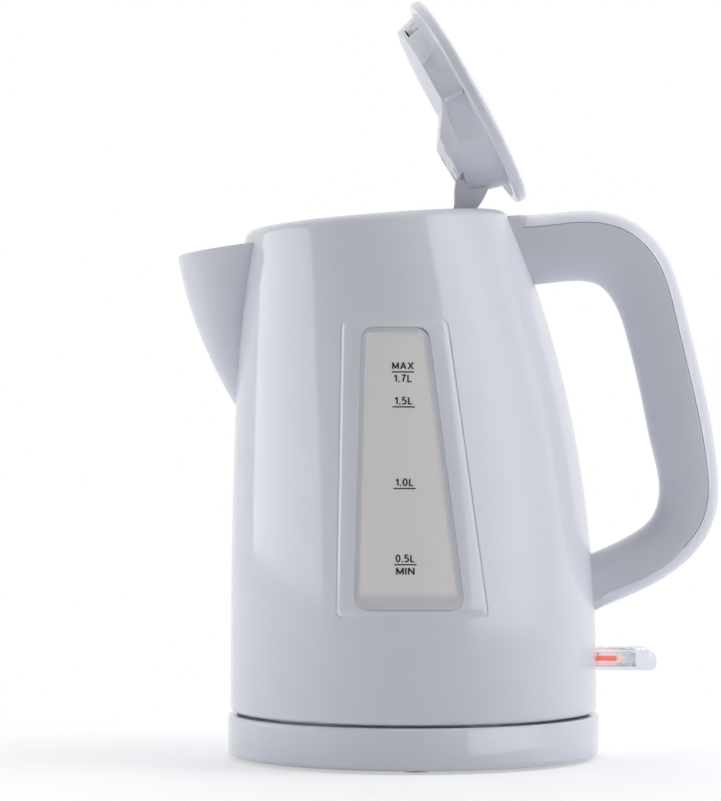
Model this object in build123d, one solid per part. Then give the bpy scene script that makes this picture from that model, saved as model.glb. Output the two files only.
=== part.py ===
from build123d import *
import os
from math import cos, radians, sin, sqrt

# Cordless electric kettle standing on its power base, with the lid open.
# Millimetres and degrees. Z is up and the feet stand on z = 0. X runs from the
# spout to the handle, and the water window faces minus Y. Pieces are worked out
# around the upright axis of the power base. Each one is moved by ROW_SHIFT when
# it is saved, so that the whole kettle is centred on the origin.

# Widths that the base and the jug share
JUG_FOOT_RADIUS = 77.5
WALL = 3.0

# Power base
BASE_RADIUS = JUG_FOOT_RADIUS + 1.0
BASE_SKIRT_Z = 1.2
BASE_RIM_Z = 18.5
BASE_WALL = 2.5
SEAM_GAP = 1.0
SEAT_RISE = 2.3
FOOT_RADIUS = 6.0
FOOT_COUNT = 4
FOOT_CIRCLE = BASE_RADIUS - 16.5
BASE_SCREW_CIRCLE = 48.0
CORD_NOTCH = 9.0

# Jug shell: a leaning, narrowing stack of circles
JUG_FOOT_Z = BASE_RIM_Z + SEAM_GAP
JUG_RISE = 208.5
JUG_TAPER = 22.0
JUG_LEAN = 15.0
JUG_CURVE = 2.4
FORM_STEPS = 9
RIM_Z = JUG_FOOT_Z + JUG_RISE
RIM_TILT = 4.44
RIM_THICK = 3.0
SHOULDER_ROUND = 5.0
FOOT_ROUND = 2.2
RIM_RADIUS = JUG_FOOT_RADIUS - JUG_TAPER

# Spout: an oblique cone that grows out of the jug wall
SPOUT_ROOT_Z = JUG_FOOT_Z + 0.618 * JUG_RISE
SPOUT_RISE = 0.3036 * JUG_RISE
SPOUT_REACH = 24.4
SPOUT_BELLY = 14.1
SPOUT_ROOT_RADIUS = 4.2
SPOUT_FLARE = 0.3
SPOUT_WALL = 2.4
SPOUT_LIP_TILT = 8.3

# Water window in the front of the jug
PANEL_LOW = JUG_FOOT_Z + 0.2077 * JUG_RISE
PANEL_HIGH = JUG_FOOT_Z + 0.7717 * JUG_RISE
PANEL_HALF_LOW = 30.0
PANEL_HALF_HIGH = 20.6
PANEL_DEPTH = 0.9
PANE_MARGIN_SIDE = 8.6
PANE_MARGIN_END = 3.4
PANE_DEPTH = 1.9
PANE_FLANGE = 3.0
PANE_CORNER = 4.0

# Floor of the water space and the heater under it
FLOOR_Z = JUG_FOOT_Z + 33.5
FLOOR_THICK = 3.0
PLATE_RADIUS = JUG_FOOT_RADIUS - WALL - 14.5
PLATE_THICK = 1.0
SEAL_THICK = 2.0
CLAMP_THICK = 3.0
CLAMP_SCREWS = 6
SPREADER_THICK = 1.5
ELEMENT_TUBE = 3.5
CONTROL_RADIUS = 30.0

# Cordless connector
BOSS_RADIUS = 17.0
BOSS_HEIGHT = 17.5
PIN_RADIUS = 2.4
RING_RADIUS = 10.2
SLIDE_GAP = 0.3

# Switch lever
LEVER_Z = JUG_FOOT_Z + 22.0
LEVER_REACH = 25.0
LEVER_HEIGHT = 8.8
LEVER_HALF = 10.0
LEVER_PIVOT_INSET = 11.0
LEVER_TRAVEL = 10.0
LAMP_RADIUS = 1.6

# Handle
HANDLE_HALF = 14.5
HANDLE_OUTER_ROUND = 5.0
HANDLE_INNER_ROUND = 9.0
HANDLE_BULGE = 51.5
COVER_DEPTH = 5.9
COVER_GAP = 0.2
CHANNEL_DEPTH = 14.0
CHANNEL_HALF = 9.0
HANDLE_LUG = 3.5

# Lid and its hinge, measured in the rim plane
LID_RADIUS = RIM_RADIUS - 7.8
LID_X = -JUG_LEAN - 4.8
LID_EDGE = 4.8
LID_DOME = 4.6
LID_GAP = 0.5
LID_WALL = 2.2
LID_RIM = 4.05
MOUTH_RADIUS = LID_RADIUS - 4.9
MOUTH_X = LID_X - 2.1
SKIRT_RADIUS = MOUTH_RADIUS - 1.9
SKIRT_DRAFT = 4.2
SKIRT_HALF = 0.835 * SKIRT_RADIUS
SKIRT_FRONT = 8.8
SKIRT_DEPTH = 14.6
SKIRT_STEP = MOUTH_X - 0.6
SKIRT_WALL = 1.9
LID_OPEN = 65.6
HINGE_DROP = 8.1
HINGE_INSET = 5.3
HINGE_PIN = 1.5
BARREL_RADIUS = 3.0
ARM_INNER = 17.1
ARM_OUTER = 24.8
ARM_HALF = 9.5
ARM_THICK = 4.0

# Fits
RUN_FIT = 0.05
PART_GAP = 0.3


def jug_share(z):
    return max(0.0, (z - JUG_FOOT_Z) / JUG_RISE) ** JUG_CURVE


def jug_centre(z):
    return -JUG_LEAN * jug_share(z)


def jug_radius(z):
    return JUG_FOOT_RADIUS - JUG_TAPER * jug_share(z)


def jug_right(z):
    return jug_centre(z) + jug_radius(z)


def jug_left(z):
    return jug_centre(z) - jug_radius(z)


RIM_PLANE = Plane(
    origin=(0, 0, RIM_Z),
    x_dir=(cos(radians(RIM_TILT)), 0, sin(radians(RIM_TILT))),
    z_dir=(-sin(radians(RIM_TILT)), 0, cos(radians(RIM_TILT))),
)

# Hinge point in the base frame, and again in the rim plane
HINGE_Z = RIM_Z - HINGE_DROP
HINGE_X = jug_right(HINGE_Z) - HINGE_INSET
HINGE_U = HINGE_X * cos(radians(RIM_TILT)) - HINGE_DROP * sin(radians(RIM_TILT))
HINGE_W = -HINGE_X * sin(radians(RIM_TILT)) - HINGE_DROP * cos(radians(RIM_TILT))
NOTCH_U = HINGE_U - ARM_INNER + 4.7
LEVER_X = JUG_FOOT_RADIUS - LEVER_PIVOT_INSET
LEVER_END = JUG_FOOT_RADIUS + LEVER_REACH

# Levels that several pieces share
SEAT_Z = JUG_FOOT_Z - SEAM_GAP + SEAT_RISE
COVER_Z = SEAT_Z + SLIDE_GAP
COVER_TOP = COVER_Z + 3.0
PLATE_TOP = FLOOR_Z - SEAL_THICK
PLATE_Z = PLATE_TOP - PLATE_THICK
CLAMP_Z = PLATE_Z - CLAMP_THICK
SPREADER_Z = PLATE_Z - SPREADER_THICK
CONTROL_TOP = CLAMP_Z - 1.0
BOSS_TOP = SEAT_Z + BOSS_HEIGHT - 2.5
RECESS_TOP = BOSS_TOP + 3.0
PLATE_HOLE = PLATE_RADIUS - 4.5
CLAMP_CIRCLE = PLATE_RADIUS + 3.2
COVER_BOSS_CIRCLE = JUG_FOOT_RADIUS - WALL - 4.3
BASE_PLATE_TOP = BASE_SKIRT_Z + 2.2
SPOUT_TIP = jug_left(SPOUT_ROOT_Z) - SPOUT_REACH
ROW_SHIFT = -(SPOUT_TIP + JUG_FOOT_RADIUS + HANDLE_BULGE) / 2


def pillar(radius, low, high, x=0.0, y=0.0):
    return Pos(x, y, (low + high) / 2) * Cylinder(radius, high - low)


def tube(outer, inner, low, high, x=0.0, y=0.0):
    return pillar(outer, low, high, x, y) - pillar(inner, low - 1, high + 1, x, y)


def block(x0, x1, half, low, high):
    return Pos((x0 + x1) / 2, 0, (low + high) / 2) * Box(x1 - x0, 2 * half, high - low)


def rod_x(radius, x0, x1, z):
    return Pos((x0 + x1) / 2, 0, z) * Rot(0, 90, 0) * Cylinder(radius, x1 - x0)


def rod_y(radius, x, z, half):
    return Pos(x, 0, z) * Rot(90, 0, 0) * Cylinder(radius, 2 * half)


def side_slab(outline, half):
    return extrude(Plane.XZ * outline, amount=half, both=True)


def polygon(*points):
    return make_face(Polyline(*points, close=True))


def circle_places(radius, count, start):
    angles = [radians(start + 360 * i / count) for i in range(count)]
    return [(radius * cos(a), radius * sin(a)) for a in angles]


def group(pieces):
    return Compound([piece.solid() for piece in pieces])


def above_rim(offset):
    return RIM_PLANE.location * Pos(0, 0, offset + 100) * Box(600, 600, 200)


def rim_height(point):
    return (point.Z - RIM_Z) * cos(radians(RIM_TILT)) - point.X * sin(radians(RIM_TILT))


def jug_form(inset, low, high):
    rings = []
    for step in range(FORM_STEPS + 1):
        z = low + (high - low) * step / FORM_STEPS
        rings.append(Pos(jug_centre(z), 0, z) * Circle(jug_radius(z) - inset))
    return loft(rings)


def jug_outer():
    form = jug_form(0, JUG_FOOT_Z, RIM_Z + 12) - above_rim(0)
    rim = [edge for edge in form.edges() if abs(rim_height(edge.center())) < 0.5]
    form = fillet(rim, SHOULDER_ROUND)
    foot = form.edges().filter_by_position(Axis.Z, JUG_FOOT_Z - 0.01, JUG_FOOT_Z + 0.01)
    return fillet(foot, FOOT_ROUND)


def spout_form(inset):
    rings = []
    for step in range(7):
        share = -0.08 + 1.2 * step / 6
        z = SPOUT_ROOT_Z + SPOUT_RISE * share
        tip = jug_left(SPOUT_ROOT_Z) - SPOUT_REACH * share - SPOUT_BELLY * share * (1 - share)
        radius = SPOUT_ROOT_RADIUS + SPOUT_FLARE * SPOUT_RISE * max(share, -0.02)
        rings.append(Pos(tip + radius, 0, z) * Circle(radius - inset))
    return loft(rings)


def spout_lip_cut():
    lip = Plane(
        origin=(SPOUT_TIP, 0, SPOUT_ROOT_Z + SPOUT_RISE),
        x_dir=(cos(radians(SPOUT_LIP_TILT)), 0, sin(radians(SPOUT_LIP_TILT))),
        z_dir=(-sin(radians(SPOUT_LIP_TILT)), 0, cos(radians(SPOUT_LIP_TILT))),
    )
    return lip.location * Pos(0, 0, 50) * Box(300, 300, 100)


def spout_shell():
    shell = spout_form(0) - spout_form(SPOUT_WALL) - spout_lip_cut()
    return shell - jug_form(WALL / 2, JUG_FOOT_Z, RIM_Z + 12)


def pour_opening():
    return spout_form(SPOUT_WALL) & block(-300, 0, 100, 0, SPOUT_ROOT_Z + 0.93 * SPOUT_RISE)


def front_prism(margin_side, margin_end, corner):
    low = PANEL_LOW + margin_end
    high = PANEL_HIGH - margin_end
    slope = (PANEL_HALF_LOW - PANEL_HALF_HIGH) / (PANEL_HIGH - PANEL_LOW)
    half_low = PANEL_HALF_LOW - slope * margin_end - margin_side
    half_high = PANEL_HALF_HIGH + slope * margin_end - margin_side
    outline = polygon(
        (jug_centre(low) - half_low, low),
        (jug_centre(low) + half_low, low),
        (jug_centre(high) + half_high, high),
        (jug_centre(high) - half_high, high),
    )
    outline = fillet(outline.vertices(), corner)
    return extrude(Plane.XZ * outline, amount=200)


def jug_skin(outer_inset, inner_inset):
    low = PANEL_LOW - 10
    high = PANEL_HIGH + 10
    return jug_form(outer_inset, low, high) - jug_form(inner_inset, low, high)


def tube_axis():
    low = Vector(JUG_FOOT_RADIUS - 10.7, 0, FLOOR_Z - 1.5)
    high_z = RIM_Z - 24
    high = Vector(jug_right(high_z) - WALL - 6.5, 0, high_z)
    return low, high


def steam_pipe(radius):
    low, high = tube_axis()
    base = Plane(origin=low, z_dir=high - low)
    return extrude(base * Circle(radius), amount=(high - low).length)


def hinge_lugs():
    lugs = Part()
    for side in (-1, 1):
        middle = side * (ARM_HALF + 0.5 + 2.0)
        lug = Pos(HINGE_U, middle, HINGE_W) * Rot(90, 0, 0) * Cylinder(4.0, 4.0)
        brace = Pos(HINGE_U + 6, middle, HINGE_W) * Box(12, 4.0, 8.0)
        lugs = lugs + lug + brace
    return RIM_PLANE.location * lugs


def lug_heights():
    return RIM_Z - 15.0, JUG_FOOT_Z + 0.285 * JUG_RISE


def jug_lugs(radius, reach):
    high, low = lug_heights()
    upper = rod_x(radius, jug_right(high) - 1.5, jug_right(high) + reach, high)
    lower = rod_x(radius, jug_right(low) - 1.5, jug_right(low) + reach, low)
    return upper + lower


def jug_body(outer):
    water = jug_form(WALL, FLOOR_Z + FLOOR_THICK, RIM_Z + 12) - above_rim(-RIM_THICK)
    chamber = jug_form(WALL, JUG_FOOT_Z - 1, FLOOR_Z)
    body = outer - water - chamber - pillar(PLATE_HOLE, FLOOR_Z - 1, FLOOR_Z + 5)
    body = body - pour_opening() + spout_shell()
    body = body - (front_prism(0, 0, 2.0) - jug_form(PANEL_DEPTH, PANEL_LOW - 10, PANEL_HIGH + 10))
    bevel = front_prism(PANE_MARGIN_SIDE - 2.4, PANE_MARGIN_END - 2.4, PANE_CORNER + 1.5)
    body = body - (bevel - jug_form(PANE_DEPTH, PANEL_LOW - 10, PANEL_HIGH + 10))
    body = body - front_prism(PANE_MARGIN_SIDE, PANE_MARGIN_END, PANE_CORNER)
    mouth = pillar(MOUTH_RADIUS, -20, 20, MOUTH_X) + block(MOUTH_X, NOTCH_U, ARM_HALF + 1, -20, 20)
    body = body - RIM_PLANE.location * mouth
    body = body + (hinge_lugs() & outer) + jug_lugs(HANDLE_LUG, 8.0)
    hinge = rod_y(HINGE_PIN + RUN_FIT, HINGE_X, HINGE_Z, ARM_HALF + 4.0)
    barrel = rod_y(BARREL_RADIUS + 0.5, HINGE_X, HINGE_Z, ARM_HALF + 0.5)
    body = body - hinge - barrel
    for x, y in circle_places(CLAMP_CIRCLE, CLAMP_SCREWS, 15):
        body = body + pillar(2.6, PLATE_Z, FLOOR_Z + 1, x, y)
        body = body - pillar(1.25 + RUN_FIT, PLATE_Z - 1, FLOOR_Z + 0.5, x, y)
    for x, y in circle_places(COVER_BOSS_CIRCLE, 3, 30):
        body = body + pillar(3.6, COVER_TOP, FLOOR_Z + 1, x, y)
        body = body - pillar(1.5 + RUN_FIT, COVER_TOP - 1, COVER_TOP + 14, x, y)
    half_slot = LEVER_HEIGHT / 2 + 1.2
    lift = LEVER_PIVOT_INSET * sin(radians(LEVER_TRAVEL)) + 1.2
    slot = block(LEVER_X + 3, LEVER_END, LEVER_HALF + 0.8, LEVER_Z - half_slot, LEVER_Z + half_slot + lift)
    body = body - slot
    for level, radius in zip(lug_heights(), (1.3, 1.3)):
        body = body - rod_x(radius + RUN_FIT, jug_right(level) + 0.5, jug_right(level) + 20, level)
    return body - steam_pipe(4.0 + RUN_FIT)


def water_window():
    gap = RUN_FIT
    pane = front_prism(PANE_MARGIN_SIDE + gap, PANE_MARGIN_END + gap, PANE_CORNER)
    pane = pane & jug_skin(PANE_DEPTH, WALL + 1.6)
    flange = front_prism(PANE_MARGIN_SIDE - PANE_FLANGE, PANE_MARGIN_END - PANE_FLANGE, PANE_CORNER + 2)
    return pane + (flange & jug_skin(WALL + 0.02, WALL + 1.6))


def handle_points(places):
    return [(JUG_FOOT_RADIUS + dx, JUG_FOOT_Z + share * JUG_RISE) for dx, share in places]


def handle_curves():
    root = jug_right(RIM_Z) - JUG_FOOT_RADIUS - 3.0
    outer = [(root, 1.002), (-21.5, 1.0077), (-1.5, 1.0134), (14.8, 0.9928), (27.5, 0.9367)]
    outer += [(37.0, 0.8177), (45.3, 0.6542), (HANDLE_BULGE - 0.6, 0.4916), (HANDLE_BULGE - 1.8, 0.3909)]
    outer += [(38.5, 0.307), (22.5, 0.2537), (6.5, 0.2192), (-7.5, 0.1909)]
    inner = [(root, 0.86), (-21.5, 0.8667), (-7.5, 0.8724), (1.0, 0.8638), (8.1, 0.8245)]
    inner += [(13.5, 0.7506), (18.8, 0.6451), (23.7, 0.5324), (26.8, 0.4436)]
    inner += [(23.5, 0.3909), (14.0, 0.354), (-0.4, 0.3209), (-7.5, 0.3074)]
    return Spline(*handle_points(outer)), Spline(*handle_points(inner))


def handle_band(near, far, half):
    outer, _ = handle_curves()
    rows = ([], [])
    for step in range(25):
        share = 0.01 + 0.98 * step / 24
        spot = outer.position_at(share)
        along = outer.tangent_at(share)
        inward = Vector(along.Y, -along.X)
        for row, depth in zip(rows, (near, far)):
            place = spot + inward * depth
            row.append((place.X, place.Y))
    first = Spline(*rows[0])
    second = Spline(*rows[1])
    edges = [first, Line(first @ 1, second @ 1), second, Line(second @ 0, first @ 0)]
    return side_slab(make_face(edges), half)


def handle_whole(outer_shell):
    outer, inner = handle_curves()
    edges = [outer, Line(outer @ 1, inner @ 1), inner, Line(inner @ 0, outer @ 0)]
    solid = side_slab(make_face(edges), HANDLE_HALF)
    for curve, radius in ((outer, HANDLE_OUTER_ROUND), (inner, HANDLE_INNER_ROUND)):
        middle = curve.position_at(0.5)
        chosen = []
        for edge in solid.edges():
            spot = edge.position_at(0.5)
            if abs(spot.X - middle.X) < 0.5 and abs(spot.Z - middle.Y) < 0.5:
                chosen.append(edge)
        solid = fillet(chosen, radius)
    return solid - outer_shell


def band_ends(top_x, low_x):
    middle = JUG_FOOT_Z + 0.55 * JUG_RISE
    upper = block(-200, top_x, 100, middle, 400)
    lower = block(-200, low_x, 100, -100, middle)
    return upper + lower


def handle_parts(outer_shell):
    whole = handle_whole(outer_shell)
    start = jug_right(RIM_Z - 8) + 1.8
    stop = JUG_FOOT_RADIUS + 1.2
    cover = whole & (handle_band(-4, COVER_DEPTH, HANDLE_HALF + 5) - band_ends(start, stop))
    room = handle_band(-4, COVER_DEPTH + COVER_GAP, HANDLE_HALF + 5)
    core = whole - (room - band_ends(start - COVER_GAP, stop - COVER_GAP))
    high, low = lug_heights()
    web_high = jug_right(high) + 11.0
    web_low = jug_right(low) + 15.0
    channel = handle_band(COVER_DEPTH - 1, COVER_DEPTH + CHANNEL_DEPTH, CHANNEL_HALF)
    core = core - (channel - band_ends(web_high, web_low)) - jug_lugs(HANDLE_LUG + RUN_FIT, 8.1)
    core = core - rod_x(1.3 + RUN_FIT, jug_right(high), web_high + 1, high)
    core = core - rod_x(1.3 + RUN_FIT, jug_right(low), web_low + 1, low)
    screws = [
        rod_x(1.3, jug_right(high) + 1, web_high, high) + rod_x(2.8, web_high, web_high + 2, high),
        rod_x(1.3, jug_right(low) + 1, web_low, low) + rod_x(2.8, web_low, web_low + 2, low),
    ]
    return core, cover, group(screws)


def base_top_cover():
    shell = pillar(BASE_RADIUS, BASE_SKIRT_Z, BASE_RIM_Z)
    low_edge = shell.edges().filter_by_position(Axis.Z, BASE_SKIRT_Z - 0.01, BASE_SKIRT_Z + 0.01)
    shell = fillet(low_edge, BASE_WALL)
    high_edge = shell.edges().filter_by_position(Axis.Z, BASE_RIM_Z - 0.01, BASE_RIM_Z + 0.01)
    shell = fillet(high_edge, 1.5)
    seat = JUG_FOOT_RADIUS - WALL - 4.5
    shell = shell + pillar(seat, BASE_RIM_Z - 1, SEAT_Z)
    shell = shell - pillar(BASE_RADIUS - BASE_WALL, BASE_SKIRT_Z - 1, BASE_RIM_Z - BASE_WALL)
    shell = shell - pillar(seat - BASE_WALL, BASE_RIM_Z - BASE_WALL - 1, SEAT_Z - BASE_WALL)
    shell = shell - pillar(BOSS_RADIUS + PART_GAP, 0, 60)
    for x, y in circle_places(BASE_SCREW_CIRCLE, 4, 45):
        shell = shell + pillar(4.0, BASE_PLATE_TOP, SEAT_Z - BASE_WALL + 0.5, x, y)
        shell = shell - pillar(1.5 + RUN_FIT, 0, 14, x, y)
    notch_top = BASE_PLATE_TOP + CORD_NOTCH - 3
    notch = Pos(0, BASE_RADIUS, notch_top / 2) * Box(CORD_NOTCH, 4 * BASE_WALL, notch_top)
    return shell - notch


def base_bottom_plate():
    plate = pillar(BASE_RADIUS - BASE_WALL - PART_GAP, BASE_SKIRT_Z, BASE_PLATE_TOP)
    for x, y in circle_places(FOOT_CIRCLE, FOOT_COUNT, 0):
        plate = plate - pillar(FOOT_RADIUS + RUN_FIT, 0, BASE_SKIRT_Z + 1, x, y)
    for x, y in circle_places(BASE_SCREW_CIRCLE, 4, 45):
        plate = plate - pillar(3.2, 0, BASE_SKIRT_Z + 1.2, x, y) - pillar(1.5 + RUN_FIT, 0, 10, x, y)
    post = tube(BOSS_RADIUS + 6, BOSS_RADIUS + 3, BASE_PLATE_TOP - 0.5, SEAT_Z - BASE_WALL - 3)
    return plate + post


def base_feet():
    places = circle_places(FOOT_CIRCLE, FOOT_COUNT, 0)
    return group([pillar(FOOT_RADIUS, 0, BASE_SKIRT_Z + 1, x, y) for x, y in places])


def base_screws():
    screws = []
    for x, y in circle_places(BASE_SCREW_CIRCLE, 4, 45):
        head = BASE_SKIRT_Z + 1.2
        screws.append(pillar(3.0, head - 1.1, head, x, y) + pillar(1.5, head, 13.5, x, y))
    return group(screws)


def base_connector():
    flange = pillar(BOSS_RADIUS + 6, SEAT_Z - BASE_WALL - 3, SEAT_Z - BASE_WALL)
    boss = flange + pillar(BOSS_RADIUS, SEAT_Z - BASE_WALL - 1, BOSS_TOP)
    top = boss.edges().filter_by_position(Axis.Z, BOSS_TOP - 0.01, BOSS_TOP + 0.01)
    boss = fillet(top, 1.2)
    bore = PIN_RADIUS + SLIDE_GAP + 0.7
    boss = boss - pillar(bore, BOSS_TOP - 12, BOSS_TOP + 1)
    return boss - tube(RING_RADIUS + 1.0, RING_RADIUS - 2.0, BOSS_TOP - 10, BOSS_TOP + 2)


def base_contacts():
    sleeve = PIN_RADIUS + SLIDE_GAP
    middle = tube(sleeve + 0.7, sleeve, BOSS_TOP - 12, BOSS_TOP - 2)
    ring = RING_RADIUS + SLIDE_GAP
    outer = tube(ring + 0.7, ring, BOSS_TOP - 10, BOSS_TOP - 2)
    return group([middle, outer])


def connector_pins():
    pin = pillar(PIN_RADIUS, BOSS_TOP - 9, RECESS_TOP + 2)
    ring = tube(RING_RADIUS, RING_RADIUS - 1.0, BOSS_TOP - 8, RECESS_TOP + 1.5)
    return group([pin, ring])


def bottom_cover():
    plate = pillar(JUG_FOOT_RADIUS - WALL - PART_GAP, COVER_Z, COVER_TOP) - pillar(BOSS_RADIUS + 3, 0, 60)
    for x, y in circle_places(COVER_BOSS_CIRCLE, 3, 30):
        plate = plate - pillar(3.2, 0, COVER_Z + 1.5, x, y) - pillar(1.5 + RUN_FIT, 0, 60, x, y)
    return plate


def bottom_screws():
    screws = []
    for x, y in circle_places(COVER_BOSS_CIRCLE, 3, 30):
        head = COVER_Z + 1.5
        screws.append(pillar(3.0, head - 1.2, head, x, y) + pillar(1.5, head, COVER_TOP + 12, x, y))
    return group(screws)


def plate_clamp_ring():
    ring = tube(CLAMP_CIRCLE + 2.9, PLATE_RADIUS - 6, CLAMP_Z, PLATE_Z)
    for x, y in circle_places(CLAMP_CIRCLE, CLAMP_SCREWS, 15):
        ring = ring - pillar(1.25 + RUN_FIT, 0, 100, x, y)
    return ring


def clamp_screws():
    screws = []
    for x, y in circle_places(CLAMP_CIRCLE, CLAMP_SCREWS, 15):
        screws.append(pillar(2.4, CLAMP_Z - 1.4, CLAMP_Z, x, y) + pillar(1.25, CLAMP_Z, FLOOR_Z, x, y))
    return group(screws)


def heating_element():
    loop = PLATE_RADIUS - 18
    middle = SPREADER_Z - ELEMENT_TUBE
    path = CenterArc((0, 0, middle), loop, 26, 308)
    start = path @ 0
    bead = Plane(origin=start, z_dir=path % 0) * Circle(ELEMENT_TUBE)
    element = sweep(bead, path)
    for share in (0, 1):
        spot = path @ share
        element = element + pillar(ELEMENT_TUBE, middle - 8, middle, spot.X, spot.Y)
        element = element + Pos(spot.X, spot.Y, middle) * Sphere(ELEMENT_TUBE)
        element = element + pillar(1.2, middle - 14, middle - 7, spot.X, spot.Y)
    return element


def control_housing():
    housing = pillar(CONTROL_RADIUS, COVER_TOP, CONTROL_TOP)
    housing = housing + block(CONTROL_RADIUS - 6, LEVER_X - 4.5, LEVER_HALF + 3, LEVER_Z - 11, CONTROL_TOP)
    ears = block(LEVER_X - 8, LEVER_X + 4, LEVER_HALF + 3, LEVER_Z - 5, CONTROL_TOP)
    ears = ears - block(LEVER_X - 4.5, LEVER_X + 5, LEVER_HALF + 0.6, 0, 100)
    housing = housing + ears + tube(BOSS_RADIUS + 2.7, BOSS_RADIUS + 1.5, COVER_Z + 0.3, COVER_TOP + 1)
    housing = housing - pillar(BOSS_RADIUS + 1.5, 0, RECESS_TOP)
    housing = housing - pillar(PIN_RADIUS, RECESS_TOP - 1, RECESS_TOP + 2)
    housing = housing - tube(RING_RADIUS, RING_RADIUS - 1.0, RECESS_TOP - 1, RECESS_TOP + 1.5)
    slot = block(LEVER_X - 14.5, LEVER_X - 3, 4.0, LEVER_Z - 5.5, CONTROL_TOP + 1)
    return housing - slot - rod_y(HINGE_PIN, LEVER_X, LEVER_Z, LEVER_HALF + 2)


def dry_boil_discs():
    discs = []
    for side in (-1, 1):
        discs.append(pillar(7.0, CONTROL_TOP, CONTROL_TOP + 0.6, -13, 14 * side))
    return group(discs)


def steam_bimetal():
    return pillar(4.0, CONTROL_TOP, CONTROL_TOP + 0.5, LEVER_X - 10, 8.5)


def contact_leaf():
    leaf = block(CONTROL_RADIUS + 2, LEVER_X - 9, 2.5, CONTROL_TOP, CONTROL_TOP + 0.4)
    return leaf


def contact_slider():
    low = LEVER_Z + 1.8
    return block(LEVER_X - 13, LEVER_X - 9.4, 3.4, low, CONTROL_TOP - PART_GAP)


def switch_lever():
    half = LEVER_HEIGHT / 2
    outline = Pos((LEVER_X + 3 + LEVER_END) / 2, LEVER_Z) * Rectangle(LEVER_END - LEVER_X - 3, LEVER_HEIGHT)
    corners = outline.vertices().group_by(Axis.X)[-1].sort_by(Axis.Y)
    outline = fillet(corners[-1], 5.5)
    low_corner = outline.vertices().group_by(Axis.Y)[0].sort_by(Axis.X)[-1]
    outline = fillet(low_corner, 2.5)
    paddle = side_slab(outline, LEVER_HALF)
    plan = Pos(LEVER_END - 30, 0) * Rectangle(60, 2 * LEVER_HALF)
    plan = fillet(plan.vertices().group_by(Axis.X)[-1], 4.5)
    paddle = paddle & extrude(Pos(0, 0, LEVER_Z - 20) * plan, amount=40)
    hollow = block(LEVER_X + 2, LEVER_END - 9, LEVER_HALF - 1.8, LEVER_Z - half + 1.5, LEVER_Z + half - 1.5)
    rib = block(LEVER_X + 8, LEVER_X + 9.5, LEVER_HALF - 1, LEVER_Z - half + 1, LEVER_Z + half - 1)
    paddle = paddle - hollow + rib
    hub = rod_y(3.4, LEVER_X, LEVER_Z, LEVER_HALF + 0.3)
    neck = block(LEVER_X, LEVER_X + 4, LEVER_HALF, LEVER_Z - 2.9, LEVER_Z + 2.9)
    tail = block(LEVER_X - 13, LEVER_X, 3.0, LEVER_Z - 1.5, LEVER_Z + 1.5)
    lever = paddle + hub + neck + tail
    lever = lever - rod_y(HINGE_PIN + RUN_FIT, LEVER_X, LEVER_Z, LEVER_HALF + 5)
    return lever - rod_x(LAMP_RADIUS, LEVER_X + 5, LEVER_X + 20, LEVER_Z)


def neon_lamp():
    glass = rod_x(LAMP_RADIUS, LEVER_X + 8, LEVER_X + 21, LEVER_Z)
    glass = glass + Pos(LEVER_X + 21, 0, LEVER_Z) * Sphere(LAMP_RADIUS)
    return glass + rod_x(0.5, LEVER_X + 21, LEVER_X + 23.8, LEVER_Z)


def filter_levels():
    return SPOUT_ROOT_Z + 8, SPOUT_ROOT_Z + 0.95 * SPOUT_RISE


def filter_front(half):
    _, high = filter_levels()
    inner = jug_radius(high) - WALL
    return jug_centre(high) - sqrt(inner * inner - half * half) + 0.6


def filter_frame():
    low, high = filter_levels()
    half = 20.0
    front = filter_front(half)
    outline = Rectangle(2 * half, high - low)
    outline = fillet(outline.vertices(), 5.0)
    hole = Rectangle(2 * half - 7, high - low - 7)
    hole = fillet(hole.vertices(), 3.0)
    plane = Plane(origin=(front, 0, (low + high) / 2), x_dir=(0, 1, 0), z_dir=(1, 0, 0))
    frame = extrude(plane * (outline - hole), amount=2.5)
    tab = extrude(plane * (Pos(0, (high - low) / 2 - 2) * Rectangle(12, 4)), amount=6.0)
    return frame + tab


def filter_mesh():
    low, high = filter_levels()
    front = filter_front(20.0)
    width = 33.0
    height = high - low - 7
    sheet = Rectangle(width, height)
    across = 12
    rows = int(height / 2.6)
    hole = Rectangle(width / across - 0.9, height / rows - 0.9)
    holes = GridLocations(width / across, height / rows, across, rows) * hole
    plane = Plane(origin=(front + 0.9, 0, (low + high) / 2), x_dir=(0, 1, 0), z_dir=(1, 0, 0))
    frame = filter_frame()
    return extrude(plane * (sheet - holes), amount=0.7) - frame


def opened(piece):
    axis = Axis((HINGE_X, 0, HINGE_Z), (0, 1, 0))
    return (RIM_PLANE.location * piece).rotate(axis, LID_OPEN)


def dome_arc(ball, centre, radius):
    edge = (radius, centre + sqrt(ball ** 2 - radius ** 2))
    middle = (radius / 2, centre + sqrt(ball ** 2 - radius ** 2 / 4))
    return ThreePointArc(edge, middle, (0, centre + ball))


def lid_cover():
    top = LID_GAP + LID_EDGE
    seat = LID_RADIUS - LID_RIM
    ball = (LID_RADIUS ** 2 + LID_DOME ** 2) / (2 * LID_DOME)
    centre = top + LID_DOME - ball
    outside = dome_arc(ball, centre, LID_RADIUS)
    inside = dome_arc(ball - LID_WALL, centre, seat)
    edge = Polyline(inside @ 0, (seat, LID_GAP), (LID_RADIUS, LID_GAP), outside @ 0)
    disc = revolve(Plane.XZ * make_face([outside, Line(outside @ 1, inside @ 1), inside, edge]), Axis.Z)
    for level, radius in ((top, 2.0), (LID_GAP, 1.6)):
        rim = disc.edges().filter_by(GeomType.CIRCLE)
        rim = [e for e in rim if abs(e.center().Z - level) < 0.1 and e.radius > LID_RADIUS - 0.1]
        disc = fillet(rim, radius)
    return Pos(LID_X, 0, 0) * disc


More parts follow.
